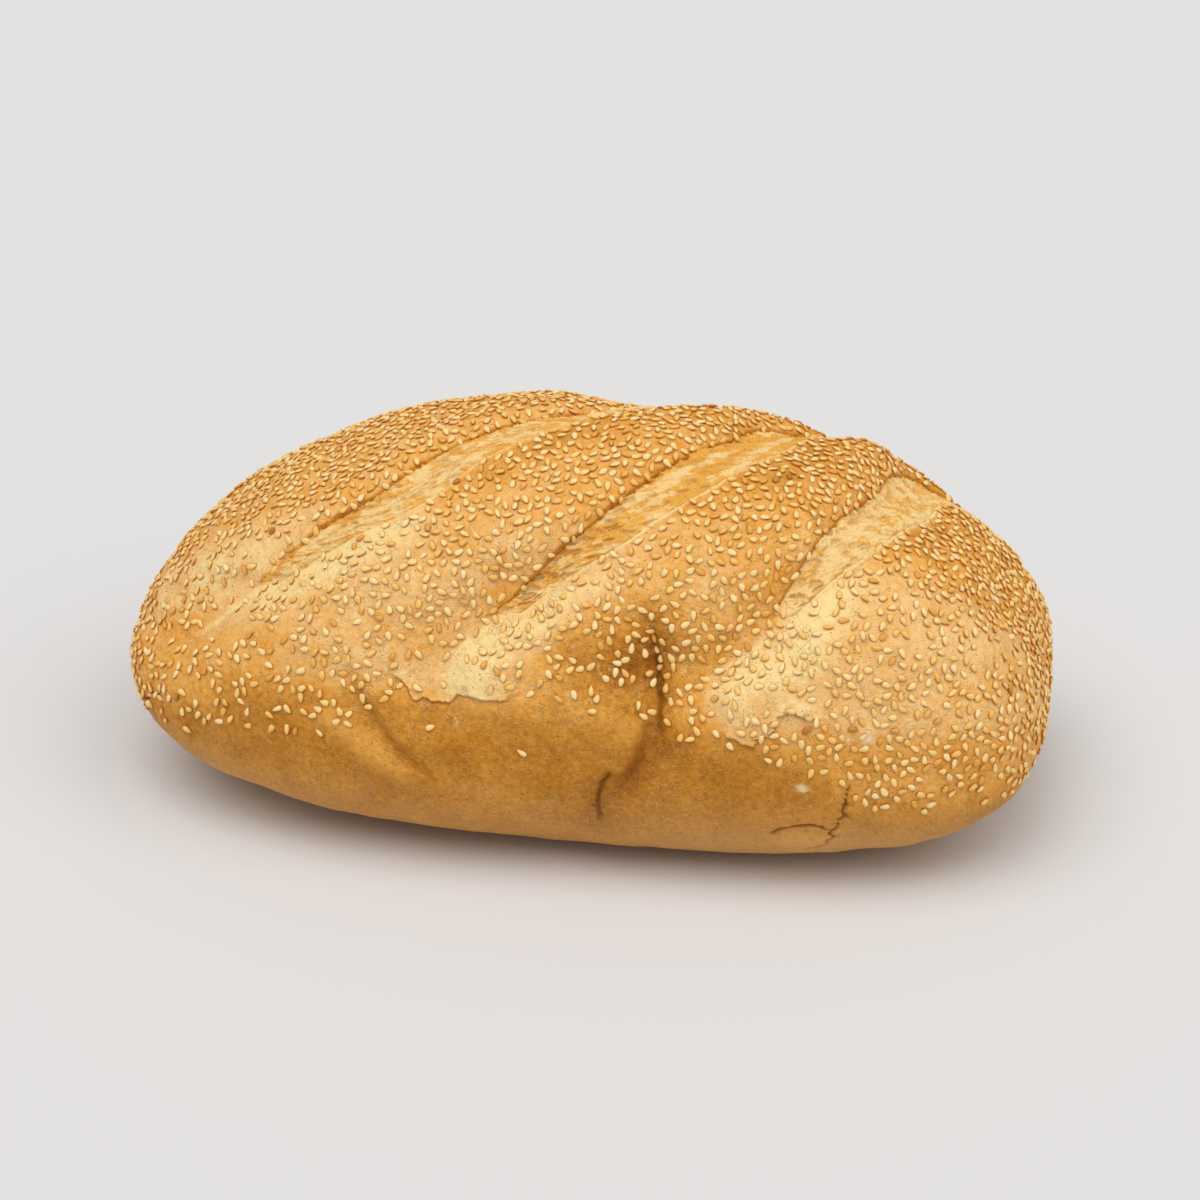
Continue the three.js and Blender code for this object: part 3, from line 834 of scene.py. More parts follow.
def fine_cell(corners, edge, places):
    """The small faces of a divided cell, given its corners and the cut edges round it."""
    near = [*edge(corners[0], corners[1]), corners[1]]
    far = [*edge(corners[3], corners[2]), corners[2]]
    left = [*edge(corners[0], corners[3]), corners[3]]
    right = [*edge(corners[1], corners[2]), corners[2]]
    rows = [near]
    for row in range(1, FINE_CUTS):
        rows.append([left[row], *points_between(places, left[row], right[row]), right[row]])
    rows.append(far)
    faces = []
    for low, high in zip(rows, rows[1:]):
        for i in range(FINE_CUTS):
            faces.append([low[i], low[i + 1], high[i + 1], high[i]])
    return faces


def put_in_scene(name, data):
    """A new object, at the origin, in the scene."""
    made = bpy.data.objects.new(name, data)
    bpy.context.scene.collection.objects.link(made)
    return made


def mesh_object(name, points, faces, masks):
    """A smooth mesh in metres, placed with the loaf's box middle at the origin, with its masks."""
    placed = (points - (BOX_MIDDLE_X, 0, 0)) * MM
    mesh = bpy.data.meshes.new(name)
    mesh.from_pydata(placed.tolist(), [], faces)
    mesh.shade_smooth()
    for mask, values in masks.items():
        mesh.attributes.new(mask, "FLOAT", "POINT").data.foreach_set("value", values.astype(np.float32))
    return put_in_scene(name, mesh)


def finish_piece(piece, material):
    """Gives a piece its finish and its body, and hides the imported loaf part."""
    piece.data.materials.clear()
    piece.data.materials.append(material)
    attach(piece, "root")
    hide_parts("loaf")


# ------------------------------------------------------------------ helpers for materials


def add(tree, kind, inputs=None, **settings):
    """Adds a node, with its settings, and each input set to a value or joined to a socket."""
    made = tree.nodes.new(kind)
    for name, value in settings.items():
        setattr(made, name, value)
    for name, value in (inputs or {}).items():
        if isinstance(value, bpy.types.NodeSocket):
            tree.links.new(value, made.inputs[name])
        else:
            made.inputs[name].default_value = value
    return made


def maths(tree, operation, first, second):
    return add(tree, "ShaderNodeMath", {0: first, 1: second}, operation=operation).outputs[0]


def plus(tree, first, second):
    return maths(tree, "ADD", first, second)


def times(tree, first, second):
    return maths(tree, "MULTIPLY", first, second)


def vector_maths(tree, operation, inputs):
    return add(tree, "ShaderNodeVectorMath", inputs, operation=operation).outputs[0]


def noise(tree, vector, scale, detail):
    inputs = {"Vector": vector, "Scale": scale, "Detail": detail}
    return add(tree, "ShaderNodeTexNoise", inputs).outputs["Fac"]


def blended(tree, share, first, second):
    """Two colours mixed by a share from 0 to 1."""
    mix = add(tree, "ShaderNodeMix", {0: share, 6: first, 7: second}, data_type="RGBA")
    return mix.outputs[2]


def painted(tree, colour, share, paint):
    """A colour with a plain colour over it, by a share from 0 to 1."""
    return blended(tree, share, colour, (*paint, 1))


def ramp(tree, value, stops):
    """A colour looked up between stops of (place, colour)."""
    node = add(tree, "ShaderNodeValToRGB", {"Fac": value})
    elements = node.color_ramp.elements
    while len(elements) < len(stops):
        elements.new(0.5)
    for element, (place, colour) in zip(elements, stops):
        element.position = place
        element.color = (*colour, 1)
    return node.outputs["Color"]


def stepped(tree, value, start, end):
    """0 below start, 1 above end, smooth between them."""
    node = add(tree, "ShaderNodeMapRange", {"Value": value, "From Min": start, "From Max": end})
    node.interpolation_type = "SMOOTHSTEP"
    return node.outputs["Result"]


def mask(tree, name):
    return add(tree, "ShaderNodeAttribute", attribute_name=name).outputs["Fac"]


def new_material(name):
    """A material with its shader, its tree and its object coordinates."""
    material = bpy.data.materials.new(name)
    material.use_nodes = True
    tree = material.node_tree
    shader = tree.nodes["Principled BSDF"]
    coordinates = add(tree, "ShaderNodeTexCoord").outputs["Object"]
    return material, tree, shader, coordinates


def new_group(name, sizes, outputs):
    """A shader node group with a vector and named sizes, as its tree, its start and its end."""
    group = bpy.data.node_groups.new(name, "ShaderNodeTree")
    group.interface.new_socket("Vector", in_out="INPUT", socket_type="NodeSocketVector")
    for size, default in sizes.items():
        socket = group.interface.new_socket(size, in_out="INPUT", socket_type="NodeSocketFloat")
        socket.default_value = default
    for output in outputs:
        group.interface.new_socket(output, in_out="OUTPUT", socket_type="NodeSocketFloat")
    start = group.nodes.new("NodeGroupInput").outputs
    end = group.nodes.new("NodeGroupOutput").inputs
    return group, start, end


def scale_for(tree, size):
    """The scale at which a pattern's bumps are of a given size."""
    return maths(tree, "DIVIDE", 1.0, size)


def mottle_group():
    """Uneven patches of two sizes, as one number that averages 0."""
    sizes = {"Patch size": 0.012, "Fine size": 0.002, "Fine share": 0.5}
    group, start, end = new_group("mottle", sizes, ["Mottle"])
    coarse = noise(group, start["Vector"], scale_for(group, start["Patch size"]), 3.0)
    fine = noise(group, start["Vector"], scale_for(group, start["Fine size"]), 4.0)
    coarse_part = maths(group, "SUBTRACT", coarse, 0.5)
    fine_part = times(group, maths(group, "SUBTRACT", fine, 0.5), start["Fine share"])
    group.links.new(plus(group, coarse_part, fine_part), end["Mottle"])
    return group


def grain_group():
    """The fine skin of baked dough: small wrinkles, grain and pinholes, as a height."""
    sizes = {"Wrinkle size": 0.0016, "Grain size": 0.0005, "Pinhole size": 0.002}
    group, start, end = new_group("grain", sizes, ["Height", "Pinholes"])
    wrinkle = noise(group, start["Vector"], scale_for(group, start["Wrinkle size"]), 3.0)
    grain = noise(group, start["Vector"], scale_for(group, start["Grain size"]), 2.0)
    hole_scale = scale_for(group, start["Pinhole size"])
    holes = add(group, "ShaderNodeTexVoronoi", {"Vector": start["Vector"], "Scale": hole_scale})
    pinholes = stepped(group, holes.outputs["Distance"], 0.16, 0.05)
    height = plus(group, times(group, wrinkle, 0.7), times(group, grain, 0.3))
    height = maths(group, "SUBTRACT", height, times(group, pinholes, 0.5))
    group.links.new(height, end["Height"])
    group.links.new(pinholes, end["Pinholes"])
    return group


def vein_group():
    """The net of fine pale lines that flour leaves on stretched skin, as a mask."""
    group, start, end = new_group("veins", {"Cell size": 0.0034}, ["Veins"])
    bend = add(group, "ShaderNodeTexNoise", {"Vector": start["Vector"], "Scale": 340.0, "Detail": 2.0})
    bend = vector_maths(group, "SUBTRACT", {0: bend.outputs["Color"], 1: (0.5, 0.5, 0.5)})
    bend = vector_maths(group, "SCALE", {0: bend, "Scale": 0.0045})
    place = vector_maths(group, "ADD", {0: start["Vector"], 1: bend})
    inputs = {"Vector": place, "Scale": scale_for(group, start["Cell size"])}
    cells = add(group, "ShaderNodeTexVoronoi", inputs, feature="DISTANCE_TO_EDGE")
    lines = stepped(group, cells.outputs["Distance"], 0.075, 0.0)
    patches = stepped(group, noise(group, start["Vector"], 150.0, 2.0), 0.46, 0.62)
    group.links.new(times(group, lines, patches), end["Veins"])
    return group


SHARED_GROUPS = {"mottle": mottle_group, "grain": grain_group, "veins": vein_group}


def use_group(tree, name, inputs):
    """Places a shared node group, which is built when it is first used, and gives its outputs."""
    group = bpy.data.node_groups.get(name) or SHARED_GROUPS[name]()
    return add(tree, "ShaderNodeGroup", inputs, node_tree=group).outputs


def mottled(tree, coordinates, patch_size, fine_size, fine_share):
    """Uneven patches for one material, in sizes of its own."""
    inputs = {
        "Vector": coordinates,
        "Patch size": patch_size,
        "Fine size": fine_size,
        "Fine share": fine_share,
    }
    return use_group(tree, "mottle", inputs)["Mottle"]


def set_shader(tree, shader, colour, roughness, specular, bumps):
    """Joins a finish to its shader. The bumps are the inputs of a bump node."""
    tree.links.new(colour, shader.inputs["Base Color"])
    tree.links.new(roughness, shader.inputs["Roughness"])
    shader.inputs["Specular IOR Level"].default_value = specular
    bump = add(tree, "ShaderNodeBump", bumps)
    tree.links.new(bump.outputs["Normal"], shader.inputs["Normal"])


# ------------------------------------------------------------------ materials

# How strongly each layer of the crust's finish covers what is below it.
CRUST_LAYERS = {
    "tan": 0.8,
    "veins": 0.12,
    "shoulder_veins": 0.5,
    "pale_specks": 0.45,
    "dark_specks": 0.5,
    "pinholes": 0.35,
    "lip_toast_and_shade": 0.9,
    "floured": 0.75,
}
UNEVEN_BAKE = 0.5  # how unevenly the crust bakes
EVEN_BAND = 0.16  # how much less unevenly it bakes low down


def crust_material(finish):
    """Baked skin: pale where it stretched, golden over the top and browner low down and in the crease."""
    layers = CRUST_LAYERS
    material, tree, shader, coordinates = new_material("baked_crust")
    mottle = mottled(tree, coordinates, 0.014, 0.0019, 1.1)
    grain = use_group(tree, "grain", {"Vector": coordinates})
    unevenness = maths(tree, "SUBTRACT", UNEVEN_BAKE, times(tree, mask(tree, "band"), EVEN_BAND))
    bake = plus(tree, mask(tree, "bake"), times(tree, mottle, unevenness))
    stops = (
        (0.05, finish.pale),
        (0.30, finish.light),
        (0.54, finish.golden),
        (0.80, finish.brown),
        (1.0, finish.dark),
    )
    colour = ramp(tree, bake, stops)
    # Paler near the table: partly paler skin, partly painted light bounced from the floor.
    colour = painted(tree, colour, times(tree, mask(tree, "tan"), layers["tan"]), finish.tan)

    veins = use_group(tree, "veins", {"Vector": coordinates})["Veins"]
    on_shoulder = times(tree, mask(tree, "shoulder"), layers["shoulder_veins"])
    vein_share = plus(tree, on_shoulder, layers["veins"])
    colour = painted(tree, colour, times(tree, veins, vein_share), finish.flour)
    specks = noise(tree, coordinates, 2100.0, 1.0)
    pale_specks = times(tree, stepped(tree, specks, 0.64, 0.74), layers["pale_specks"])
    colour = painted(tree, colour, pale_specks, finish.flour)
    dark_specks = times(tree, stepped(tree, specks, 0.36, 0.27), layers["dark_specks"])
    colour = painted(tree, colour, dark_specks, finish.toasted)
    # Painted shade in the crust's pinholes.
    colour = painted(tree, colour, times(tree, grain["Pinholes"], layers["pinholes"]), finish.toasted)
    # Toasted colour on the torn lips: partly real toasting, partly painted shade under the lip.
    lip_toast_and_shade = times(tree, mask(tree, "lip_toast_and_shade"), plus(tree, mottle, layers["lip_toast_and_shade"]))
    colour = painted(tree, colour, lip_toast_and_shade, finish.toasted)
    colour = painted(tree, colour, times(tree, mask(tree, "floured"), layers["floured"]), finish.dusted)
    # Folds and cracks painted dark: partly browner crust, partly painted shade in the grooves.
    colour = painted(tree, colour, mask(tree, "cleft"), finish.cleft)

    roughness = plus(tree, times(tree, mottle, 0.3), 0.60)
    height = plus(tree, grain["Height"], times(tree, veins, 0.25))
    bumps = {"Height": height, "Strength": 0.9, "Distance": 0.0009}
    set_shader(tree, shader, colour, roughness, 0.14, bumps)
    return material


def crumb_material(finish):
    """Torn crumb: pale and matte, with painted shade in its pits and golden streaks where it stretched."""
    material, tree, shader, coordinates = new_material("torn_crumb")
    mottle = mottled(tree, coordinates, 0.006, 0.0012, 1.0)
    sizes = {"Wrinkle size": 0.0011, "Grain size": 0.00035, "Pinhole size": 0.0013}
    grain = use_group(tree, "grain", {"Vector": coordinates, **sizes})
    streak = plus(tree, mask(tree, "streak"), times(tree, mottle, 0.5))
    colour = blended(tree, stepped(tree, streak, 0.15, 0.75), (*finish.crumb, 1), (*finish.streak, 1))
    # Painted shade: pits and pinholes take the browner pore colour.
    shaded_pit = stepped(tree, mask(tree, "shaded_pit"), 0.1, 0.9)
    colour = painted(tree, colour, times(tree, shaded_pit, 0.5), finish.shaded_pore)
    colour = painted(tree, colour, times(tree, grain["Pinholes"], 0.35), finish.shaded_pore)
    roughness = plus(tree, times(tree, mottle, 0.2), 0.7)
    bumps = {"Height": grain["Height"], "Strength": 0.8, "Distance": 0.0004}
    set_shader(tree, shader, colour, roughness, 0.3, bumps)
    return material


def seed_material(name, light, deep, rim_toast_and_shade):
    """A seed's skin, paler or deeper by seed, browner at its tip, with toast and painted shade below."""
    material, tree, shader, coordinates = new_material(name)
    mottle = mottled(tree, coordinates, 0.0011, 0.0003, 0.6)
    tint = plus(tree, mask(tree, "tint"), times(tree, mottle, 0.6))
    colour = blended(tree, stepped(tree, tint, 0.0, 1.0), (*light, 1), (*deep, 1))
    toasted_and_shaded = plus(tree, mask(tree, "rim_toast_and_shade"), times(tree, mask(tree, "tip"), 0.45))
    toasted_and_shaded = plus(tree, toasted_and_shaded, times(tree, mottle, 0.4))
    # The lower half of the seed: partly toasted, partly painted shade where it meets the crust.
    colour = painted(tree, colour, stepped(tree, toasted_and_shaded, 0.30, 0.88), rim_toast_and_shade)
    roughness = plus(tree, times(tree, mottle, 0.3), 0.34)
    bumps = {"Height": mottle, "Strength": 0.35, "Distance": 0.0002}
    set_shader(tree, shader, colour, roughness, 0.36, bumps)
    return material


# ------------------------------------------------------------------ crumb


def cell_walls(points, size, seed):
    """Cells about as wide as size: 1 on their walls and 0 in their middles, and each cell's own number."""
    scaled = points / size
    corner = np.floor(scaled).astype(np.int64)
    nearest = np.full(len(points), np.inf)
    second = np.full(len(points), np.inf)
    own = np.zeros(len(points))
    for step in itertools.product((-1, 0, 1), repeat=2):
        cell = corner[:, :2] + step
        spread = np.stack([cell[:, 0], cell[:, 1], np.full(len(cell), seed)], axis=-1).astype(float)
        middle = cell + 0.5 + 0.45 * np.stack([lattice_noise(spread, 1, seed + i) for i in (0, 1)], axis=-1)
        distance = np.linalg.norm(scaled[:, :2] - middle, axis=1)
        is_nearer = distance < nearest
        second = np.where(is_nearer, nearest, np.minimum(second, distance))
        own = np.where(is_nearer, lattice_noise(spread, 1, seed + 2), own)
        nearest = np.minimum(nearest, distance)
    return 1 - smoothstep(0, 0.42, second - nearest), own


def crumb_places(number, slash):
    """Rows of places across the floor of a slash, with how many rows there are and places in a row."""
    path = slash["path"]
    guide = np.linspace(slash["open"][0] + 2, slash["open"][3] - 1, 400)
    middle = body_point(path_x(path, guide), guide)
    length = np.concatenate([[0], np.cumsum(np.linalg.norm(np.diff(middle, axis=0), axis=1))])
    rows = int(length[-1] / CRUMB_SPACING)
    run = np.linspace(0, length[-1], rows)
    angle = np.interp(run, length, guide)
    lip_at, edge_at = slash_sides(number, angle)
    count = int((2 * slash["half_width"] + CRUMB_MARGIN) / CRUMB_SPACING)
    across = edge_at - lip_at + (CRUMB_UNDER_LIP + CRUMB_PAST_EDGE)
    offset = lip_at[:, None] - CRUMB_UNDER_LIP + across[:, None] * np.linspace(0, 1, count)
    x = path_x(path, angle)[:, None] + offset * path_stretch(path, angle)[:, None]
    along = [np.repeat(values, count) for values in (angle, run, lip_at, edge_at)]
    return x.ravel(), offset.ravel(), along, (rows, count)


def crumb_pattern(number, offset, run):
    """What crosses the torn floor: its relief, its pits, and how golden its bands and arcs are."""
    flat = np.stack([offset, run, np.zeros_like(offset)], axis=-1)
    bends = np.stack([lattice_noise(flat, BEND_SIZE, seed) for seed in (51, 52, 53)], axis=-1)
    bent = flat + BEND * bends * (1, 1, 0)
    strands = 1 - np.abs(lattice_noise(bent * (1, 0.22, 1), STRAND_SIZE, 54 + number))
    webs, own = cell_walls(bent * (1, 0.6, 1), WEB_SIZE, 60 + 5 * number)
    fine_webs, fine_own = cell_walls(bent * (1, 0.8, 1), FINE_WEB_SIZE, 80 + 5 * number)
    folds = lattice_noise(bent * (1, 0.3, 1), FOLD_SIZE, 56 + number)
    pits = smoothstep(0.0, 0.4, own) * (1 - webs)
    fine_pits = smoothstep(0.2, 0.6, fine_own)
    relief = FOLD_RISE * folds + STRAND_RISE * strands**3
    relief += WEB_RISE * webs
    relief += FINE_WEB_RISE * fine_webs
    relief -= PIT_DEPTH * pits
    relief -= FINE_PIT_DEPTH * fine_pits * (1 - fine_webs)
    # How much the crumb is painted darker in its pits: painted shade.
    shaded_pit = np.maximum(pits, 0.6 * fine_pits * (1 - fine_webs))
    bands = 0.5 + 0.9 * lattice_noise(bent * (1, 0.14, 1), BAND_SIZE, 57 + number)
    banded = GOLDEN_OF["bands"] * bands + GOLDEN_OF["strands"] * strands**2
    arcs = np.maximum(webs, 0.75 * fine_webs)
    arcs *= smoothstep(-0.25, 0.4, lattice_noise(flat, ARC_PATCH_SIZE, 58 + number))
    return relief, shaded_pit, banded, arcs


def crumb_strip(number, slash):
    """The torn floor of one slash: points, faces and masks of a thin patch that dips under the crust."""
    x, offset, (angle, run, lip_at, edge_at), (rows, count) = crumb_places(number, slash)
    relief, shaded_pit, banded, arcs = crumb_pattern(number, offset, run)
    point = body_point(x, angle)
    normal = body_normal(point)
    opened = span(slash["open"], angle)
    from_lip = (offset - lip_at) / (edge_at - lip_at)
    past_edge = offset - edge_at
    lift = CRUMB_LIFT - CRUMB_EDGE_TUCK * smoothstep(-0.6, 0.9, past_edge)
    lift -= CRUMB_END_TUCK * (1 - smoothstep(0.02, 0.3, opened))
    height = lobe_relief(x, angle) + crease_relief(x, angle) - floor_depth(slash, from_lip) * opened + lift
    height += CRUMB_SWELL * span((0.3, 0.7, 0.85, 1), from_lip)
    height += CRUMB_BANK * opened * (1 - smoothstep(0.0, 0.4, from_lip))
    for other in SLASHES:
        across = slash_offset(other, x, angle)
        height += valley_relief(other, across, angle) + dip_relief(other, across, angle)
    ends = smoothstep(0.05, 0.4, opened) * (1 - smoothstep(-1.2, 0.2, past_edge))
    point = point + normal * (height + ends * relief)[:, None]

    streak = slash["golden"] * banded + (GOLDEN_OF["arcs"] * arcs - GOLDEN_OF["less"])
    streak += GOLDEN_OF["lip"] * (1 - smoothstep(0.0, 0.09, from_lip))
    streak += GOLDEN_OF["edge"] * smoothstep(0.88, 0.98, from_lip)
    corner = np.arange((rows - 1) * count).reshape(rows - 1, count)[:, :-1].ravel()
    faces = np.stack([corner, corner + count, corner + count + 1, corner + 1], axis=-1)
    return point, faces, {"streak": streak, "shaded_pit": shaded_pit}


def crumb_mesh():
    """All three torn floors as one set of points, faces and masks."""
    points, faces, masks = [], [], {"streak": [], "shaded_pit": []}
    first = 0
    for number, slash in enumerate(SLASHES):
        strip_points, strip_faces, strip_masks = crumb_strip(number, slash)
        points.append(strip_points)
        faces.append(strip_faces + first)
        first += len(strip_points)
        for name, values in strip_masks.items():
            masks[name].append(values)
    joined = {name: np.concatenate(values) for name, values in masks.items()}
    return np.concatenate(points), np.concatenate(faces).tolist(), joined


# ------------------------------------------------------------------ seeds

SEED_SIDES = 8
# Each kind of seed outline: how full its narrow end is, and how far its tip bends sideways.
SEED_OUTLINES = ((0.62, 0.0), (0.5, 0.12), (0.74, -0.08))
ROUND_END_FULLNESS = 1.12
SEED_STATIONS = (0.07, 0.24, 0.46, 0.7, 0.91)
# How far a seed may lean out of the skin, in radians, and the range of its length, width and thickness.
SEED_LEAN = 0.22
SEED_SCALES = ((0.86, 1.14), (0.84, 1.12), (0.85, 1.25))


def seed_shape(name, fullness, bend, seeds):
    """One flat seed along X, round at one end and narrow at the other, lying on z = 0."""
    length, width, thickness = seeds.length, seeds.width, seeds.thickness
    points = [(-length / 2, bend * width, 0)]
    tips = [1.0]
    rim_toast_and_shade_shares = [1.0]
    for station in SEED_STATIONS:
        round_end = math.sqrt(1 - (2 * station - 1) ** 2)
        wide = round_end * (fullness + (ROUND_END_FULLNESS - fullness) * station**0.6)
        middle = bend * width * (1 - station) ** 2
        for side in range(SEED_SIDES):
            turn = 2 * math.pi * side / SEED_SIDES
            across = middle + math.cos(turn) * wide * width / 2
            up = math.sin(turn) * min(1, 0.35 + 0.75 * wide) * round_end**0.4 * thickness / 2
            points.append(((station - 0.5) * length, across, up))
            tips.append(1 - station)
            # Rises to 1 on the underside, where the toasting and a painted shade meet the crust.
            rim_toast_and_shade_shares.append(0.5 - 0.5 * math.sin(turn))
    points.append((length / 2, 0, 0))
    tips.append(0.0)
    rim_toast_and_shade_shares.append(1.0)
    faces = []
    last = len(points) - 1
    for side in range(SEED_SIDES):
        after = (side + 1) % SEED_SIDES
        faces.append((0, 1 + after, 1 + side))
        for station in range(len(SEED_STATIONS) - 1):
            first = 1 + station * SEED_SIDES
            faces.append((first + side, first + after, first + SEED_SIDES + after, first + SEED_SIDES + side))
        faces.append((last, last - SEED_SIDES + side, last - SEED_SIDES + after))
    mesh = bpy.data.meshes.new(name)
    mesh.from_pydata(points, [], faces)
    mesh.shade_smooth()
    mesh.attributes.new("tip", "FLOAT", "POINT").data.foreach_set("value", tips)
    mesh.attributes.new("rim_toast_and_shade", "FLOAT", "POINT").data.foreach_set("value", rim_toast_and_shade_shares)
    return bpy.data.objects.new(name, mesh)


def random_float(tree, low, high, seed):
    node = add(tree, "FunctionNodeRandomValue", {2: low, 3: high, 8: seed}, data_type="FLOAT")
    return node.outputs[1]


def seed_tree():
    """Geometry nodes that scatter seeds over a crust and keep the share that is of one kind."""
    tree = bpy.data.node_groups.new("scatter_seeds", "GeometryNodeTree")
    sockets = [
        ("Crust", "NodeSocketGeometry"),
        ("Seed shapes", "NodeSocketCollection"),
        ("Spacing", "NodeSocketFloat"),
        ("Density", "NodeSocketFloat"),
        ("Lift", "NodeSocketFloat"),
        ("Share from", "NodeSocketFloat"),
        ("Share to", "NodeSocketFloat"),
        ("Seed", "NodeSocketInt"),
        ("Material", "NodeSocketMaterial"),
    ]
    for name, kind in sockets:
        tree.interface.new_socket(name, in_out="INPUT", socket_type=kind)
    tree.interface.new_socket("Seeds", in_out="OUTPUT", socket_type="NodeSocketGeometry")
    start = tree.nodes.new("NodeGroupInput").outputs
    end = tree.nodes.new("NodeGroupOutput").inputs

    thickly = add(tree, "GeometryNodeInputNamedAttribute", {"Name": "seeding"}, data_type="FLOAT")
    scatter = add(
        tree,
        "GeometryNodeDistributePointsOnFaces",
        {
            "Mesh": start["Crust"],
            "Distance Min": start["Spacing"],
            "Density Max": start["Density"],
            "Density Factor": thickly.outputs["Attribute"],
            "Seed": start["Seed"],
        },
        distribute_method="POISSON",
    )
    draw = random_float(tree, 0.0, 1.0, 11)
    above = add(tree, "FunctionNodeCompare", {0: draw, 1: start["Share from"]}, operation="GREATER_EQUAL")
    below = add(tree, "FunctionNodeCompare", {0: draw, 1: start["Share to"]}, operation="LESS_THAN")
    kept = add(tree, "FunctionNodeBooleanMath", {0: above.outputs[0], 1: below.outputs[0]}, operation="AND")
    shapes = add(
        tree,
        "GeometryNodeCollectionInfo",
        {"Collection": start["Seed shapes"], "Separate Children": True, "Reset Children": True},
    )
    pick = add(tree, "FunctionNodeRandomValue", {4: 0, 5: len(SEED_OUTLINES) - 1, 8: 12}, data_type="INT")
    lean = [random_float(tree, -SEED_LEAN, SEED_LEAN, seed) for seed in (13, 14)]
    spin = random_float(tree, 0.0, 2 * math.pi, 15)
    turn = add(tree, "ShaderNodeCombineXYZ", {"X": lean[0], "Y": lean[1], "Z": spin})
    turn = add(tree, "FunctionNodeEulerToRotation", {"Euler": turn.outputs[0]})
    turned = add(
        tree,
        "FunctionNodeRotateRotation",
        {"Rotation": scatter.outputs["Rotation"], "Rotate By": turn.outputs[0]},
        rotation_space="LOCAL",
    )
    scales = [random_float(tree, *limits, seed) for seed, limits in enumerate(SEED_SCALES, 16)]
    scale = add(tree, "ShaderNodeCombineXYZ", dict(zip("XYZ", scales)))
    placed = add(
        tree,
        "GeometryNodeInstanceOnPoints",
        {
            "Points": scatter.outputs["Points"],
            "Selection": kept.outputs[0],
            "Instance": shapes.outputs[0],
            "Pick Instance": True,
            "Instance Index": pick.outputs[2],
            "Rotation": turned.outputs[0],
            "Scale": scale.outputs[0],
        },
    )
    rise = add(tree, "ShaderNodeCombineXYZ", {"Z": start["Lift"]})
    lifted = add(
        tree,
        "GeometryNodeTranslateInstances",
        {"Instances": placed.outputs[0], "Translation": rise.outputs[0], "Local Space": True},
    )
    tinted = add(
        tree,
        "GeometryNodeStoreNamedAttribute",
        {"Geometry": lifted.outputs[0], "Name": "tint", "Value": random_float(tree, 0.0, 1.0, 19)},
        data_type="FLOAT",
        domain="INSTANCE",
    )
    real = add(tree, "GeometryNodeRealizeInstances", {"Geometry": tinted.outputs[0]})
    inputs = {"Geometry": real.outputs[0], "Material": start["Material"]}
    finished = add(tree, "GeometryNodeSetMaterial", inputs)
    tree.links.new(finished.outputs[0], end["Seeds"])
    return tree


def scattered_seeds(name, crust, tree, inputs):
    """The seeds of one kind as a plain mesh, with the geometry nodes applied."""
    base = put_in_scene(name + "_base", crust.data)
    modifier = base.modifiers.new("scatter", "NODES")
    modifier.node_group = tree
    for item in tree.interface.items_tree:
        if item.item_type == "SOCKET" and item.in_out == "INPUT" and item.name in inputs:
            modifier[item.identifier] = inputs[item.name]
    evaluated = base.evaluated_get(bpy.context.evaluated_depsgraph_get())
    mesh = bpy.data.meshes.new_from_object(evaluated)
    mesh.name = name
    bpy.data.objects.remove(base)
    return put_in_scene(name, mesh)


# ------------------------------------------------------------------ what a user would change


def colour_property(name, description, default):
    return FloatVectorProperty(
        name=name, description=description, subtype="COLOR", size=3, min=0, max=1, default=default
    )


def length_property(name, description, default):
    return FloatProperty(name=name, description=description, unit="LENGTH", default=default)


def amount_property(name, description, default):
    return FloatProperty(name=name, description=description, min=0, default=default)


def share_property(name, description, default):
    return FloatProperty(name=name, description=description, subtype="FACTOR", default=default)


def angle_property(name, description, degrees):
    return FloatProperty(
        name=name, description=description, subtype="ANGLE", default=math.radians(degrees)
    )


class LoafCrust(PropertyGroup):
    pale: colour_property("Pale", "Skin that stretched last, beside a slash", (0.96, 0.72, 0.32))
    light: colour_property("Light", "Lightly baked skin of the shoulders", (0.89, 0.545, 0.205))
    golden: colour_property("Golden", "Skin over the top", (0.83, 0.39, 0.070))
    brown: colour_property("Brown", "Skin low down on the sides", (0.53, 0.207, 0.017))
    # Partly paler skin near the table, partly painted light bounced from the bright floor.
    tan: colour_property("Tan", "Skin just above the table", (0.74, 0.42, 0.15))
    dark: colour_property("Dark", "Skin in the front crease", (0.30, 0.095, 0.004))
    toasted: colour_property("Toasted", "Torn lips of the slashes", (0.56, 0.22, 0.016))
    # This colour also paints the torn lips: partly real toasting, partly painted shade under the lip.
    flour: colour_property("Flour", "Fine pale lines and specks", (0.93, 0.70, 0.36))
    dusted: colour_property("Dusted", "Spots where flour stuck", (0.93, 0.76, 0.50))
    # Partly the browner crust of folds and cracks, partly painted shade in them.
    cleft: colour_property("Cleft", "Inside of folds and cracks", (0.24, 0.08, 0.008))


class LoafCrumb(PropertyGroup):
    crumb: colour_property("Crumb", "The torn crumb", (0.885, 0.62, 0.26))
    streak: colour_property("Streak", "Golden streaks along the slash", (0.80, 0.40, 0.06))
    # Painted shade in the crumb's pits and pinholes.
    shaded_pore: colour_property("Pore", "Small hollows", (0.58, 0.32, 0.085))


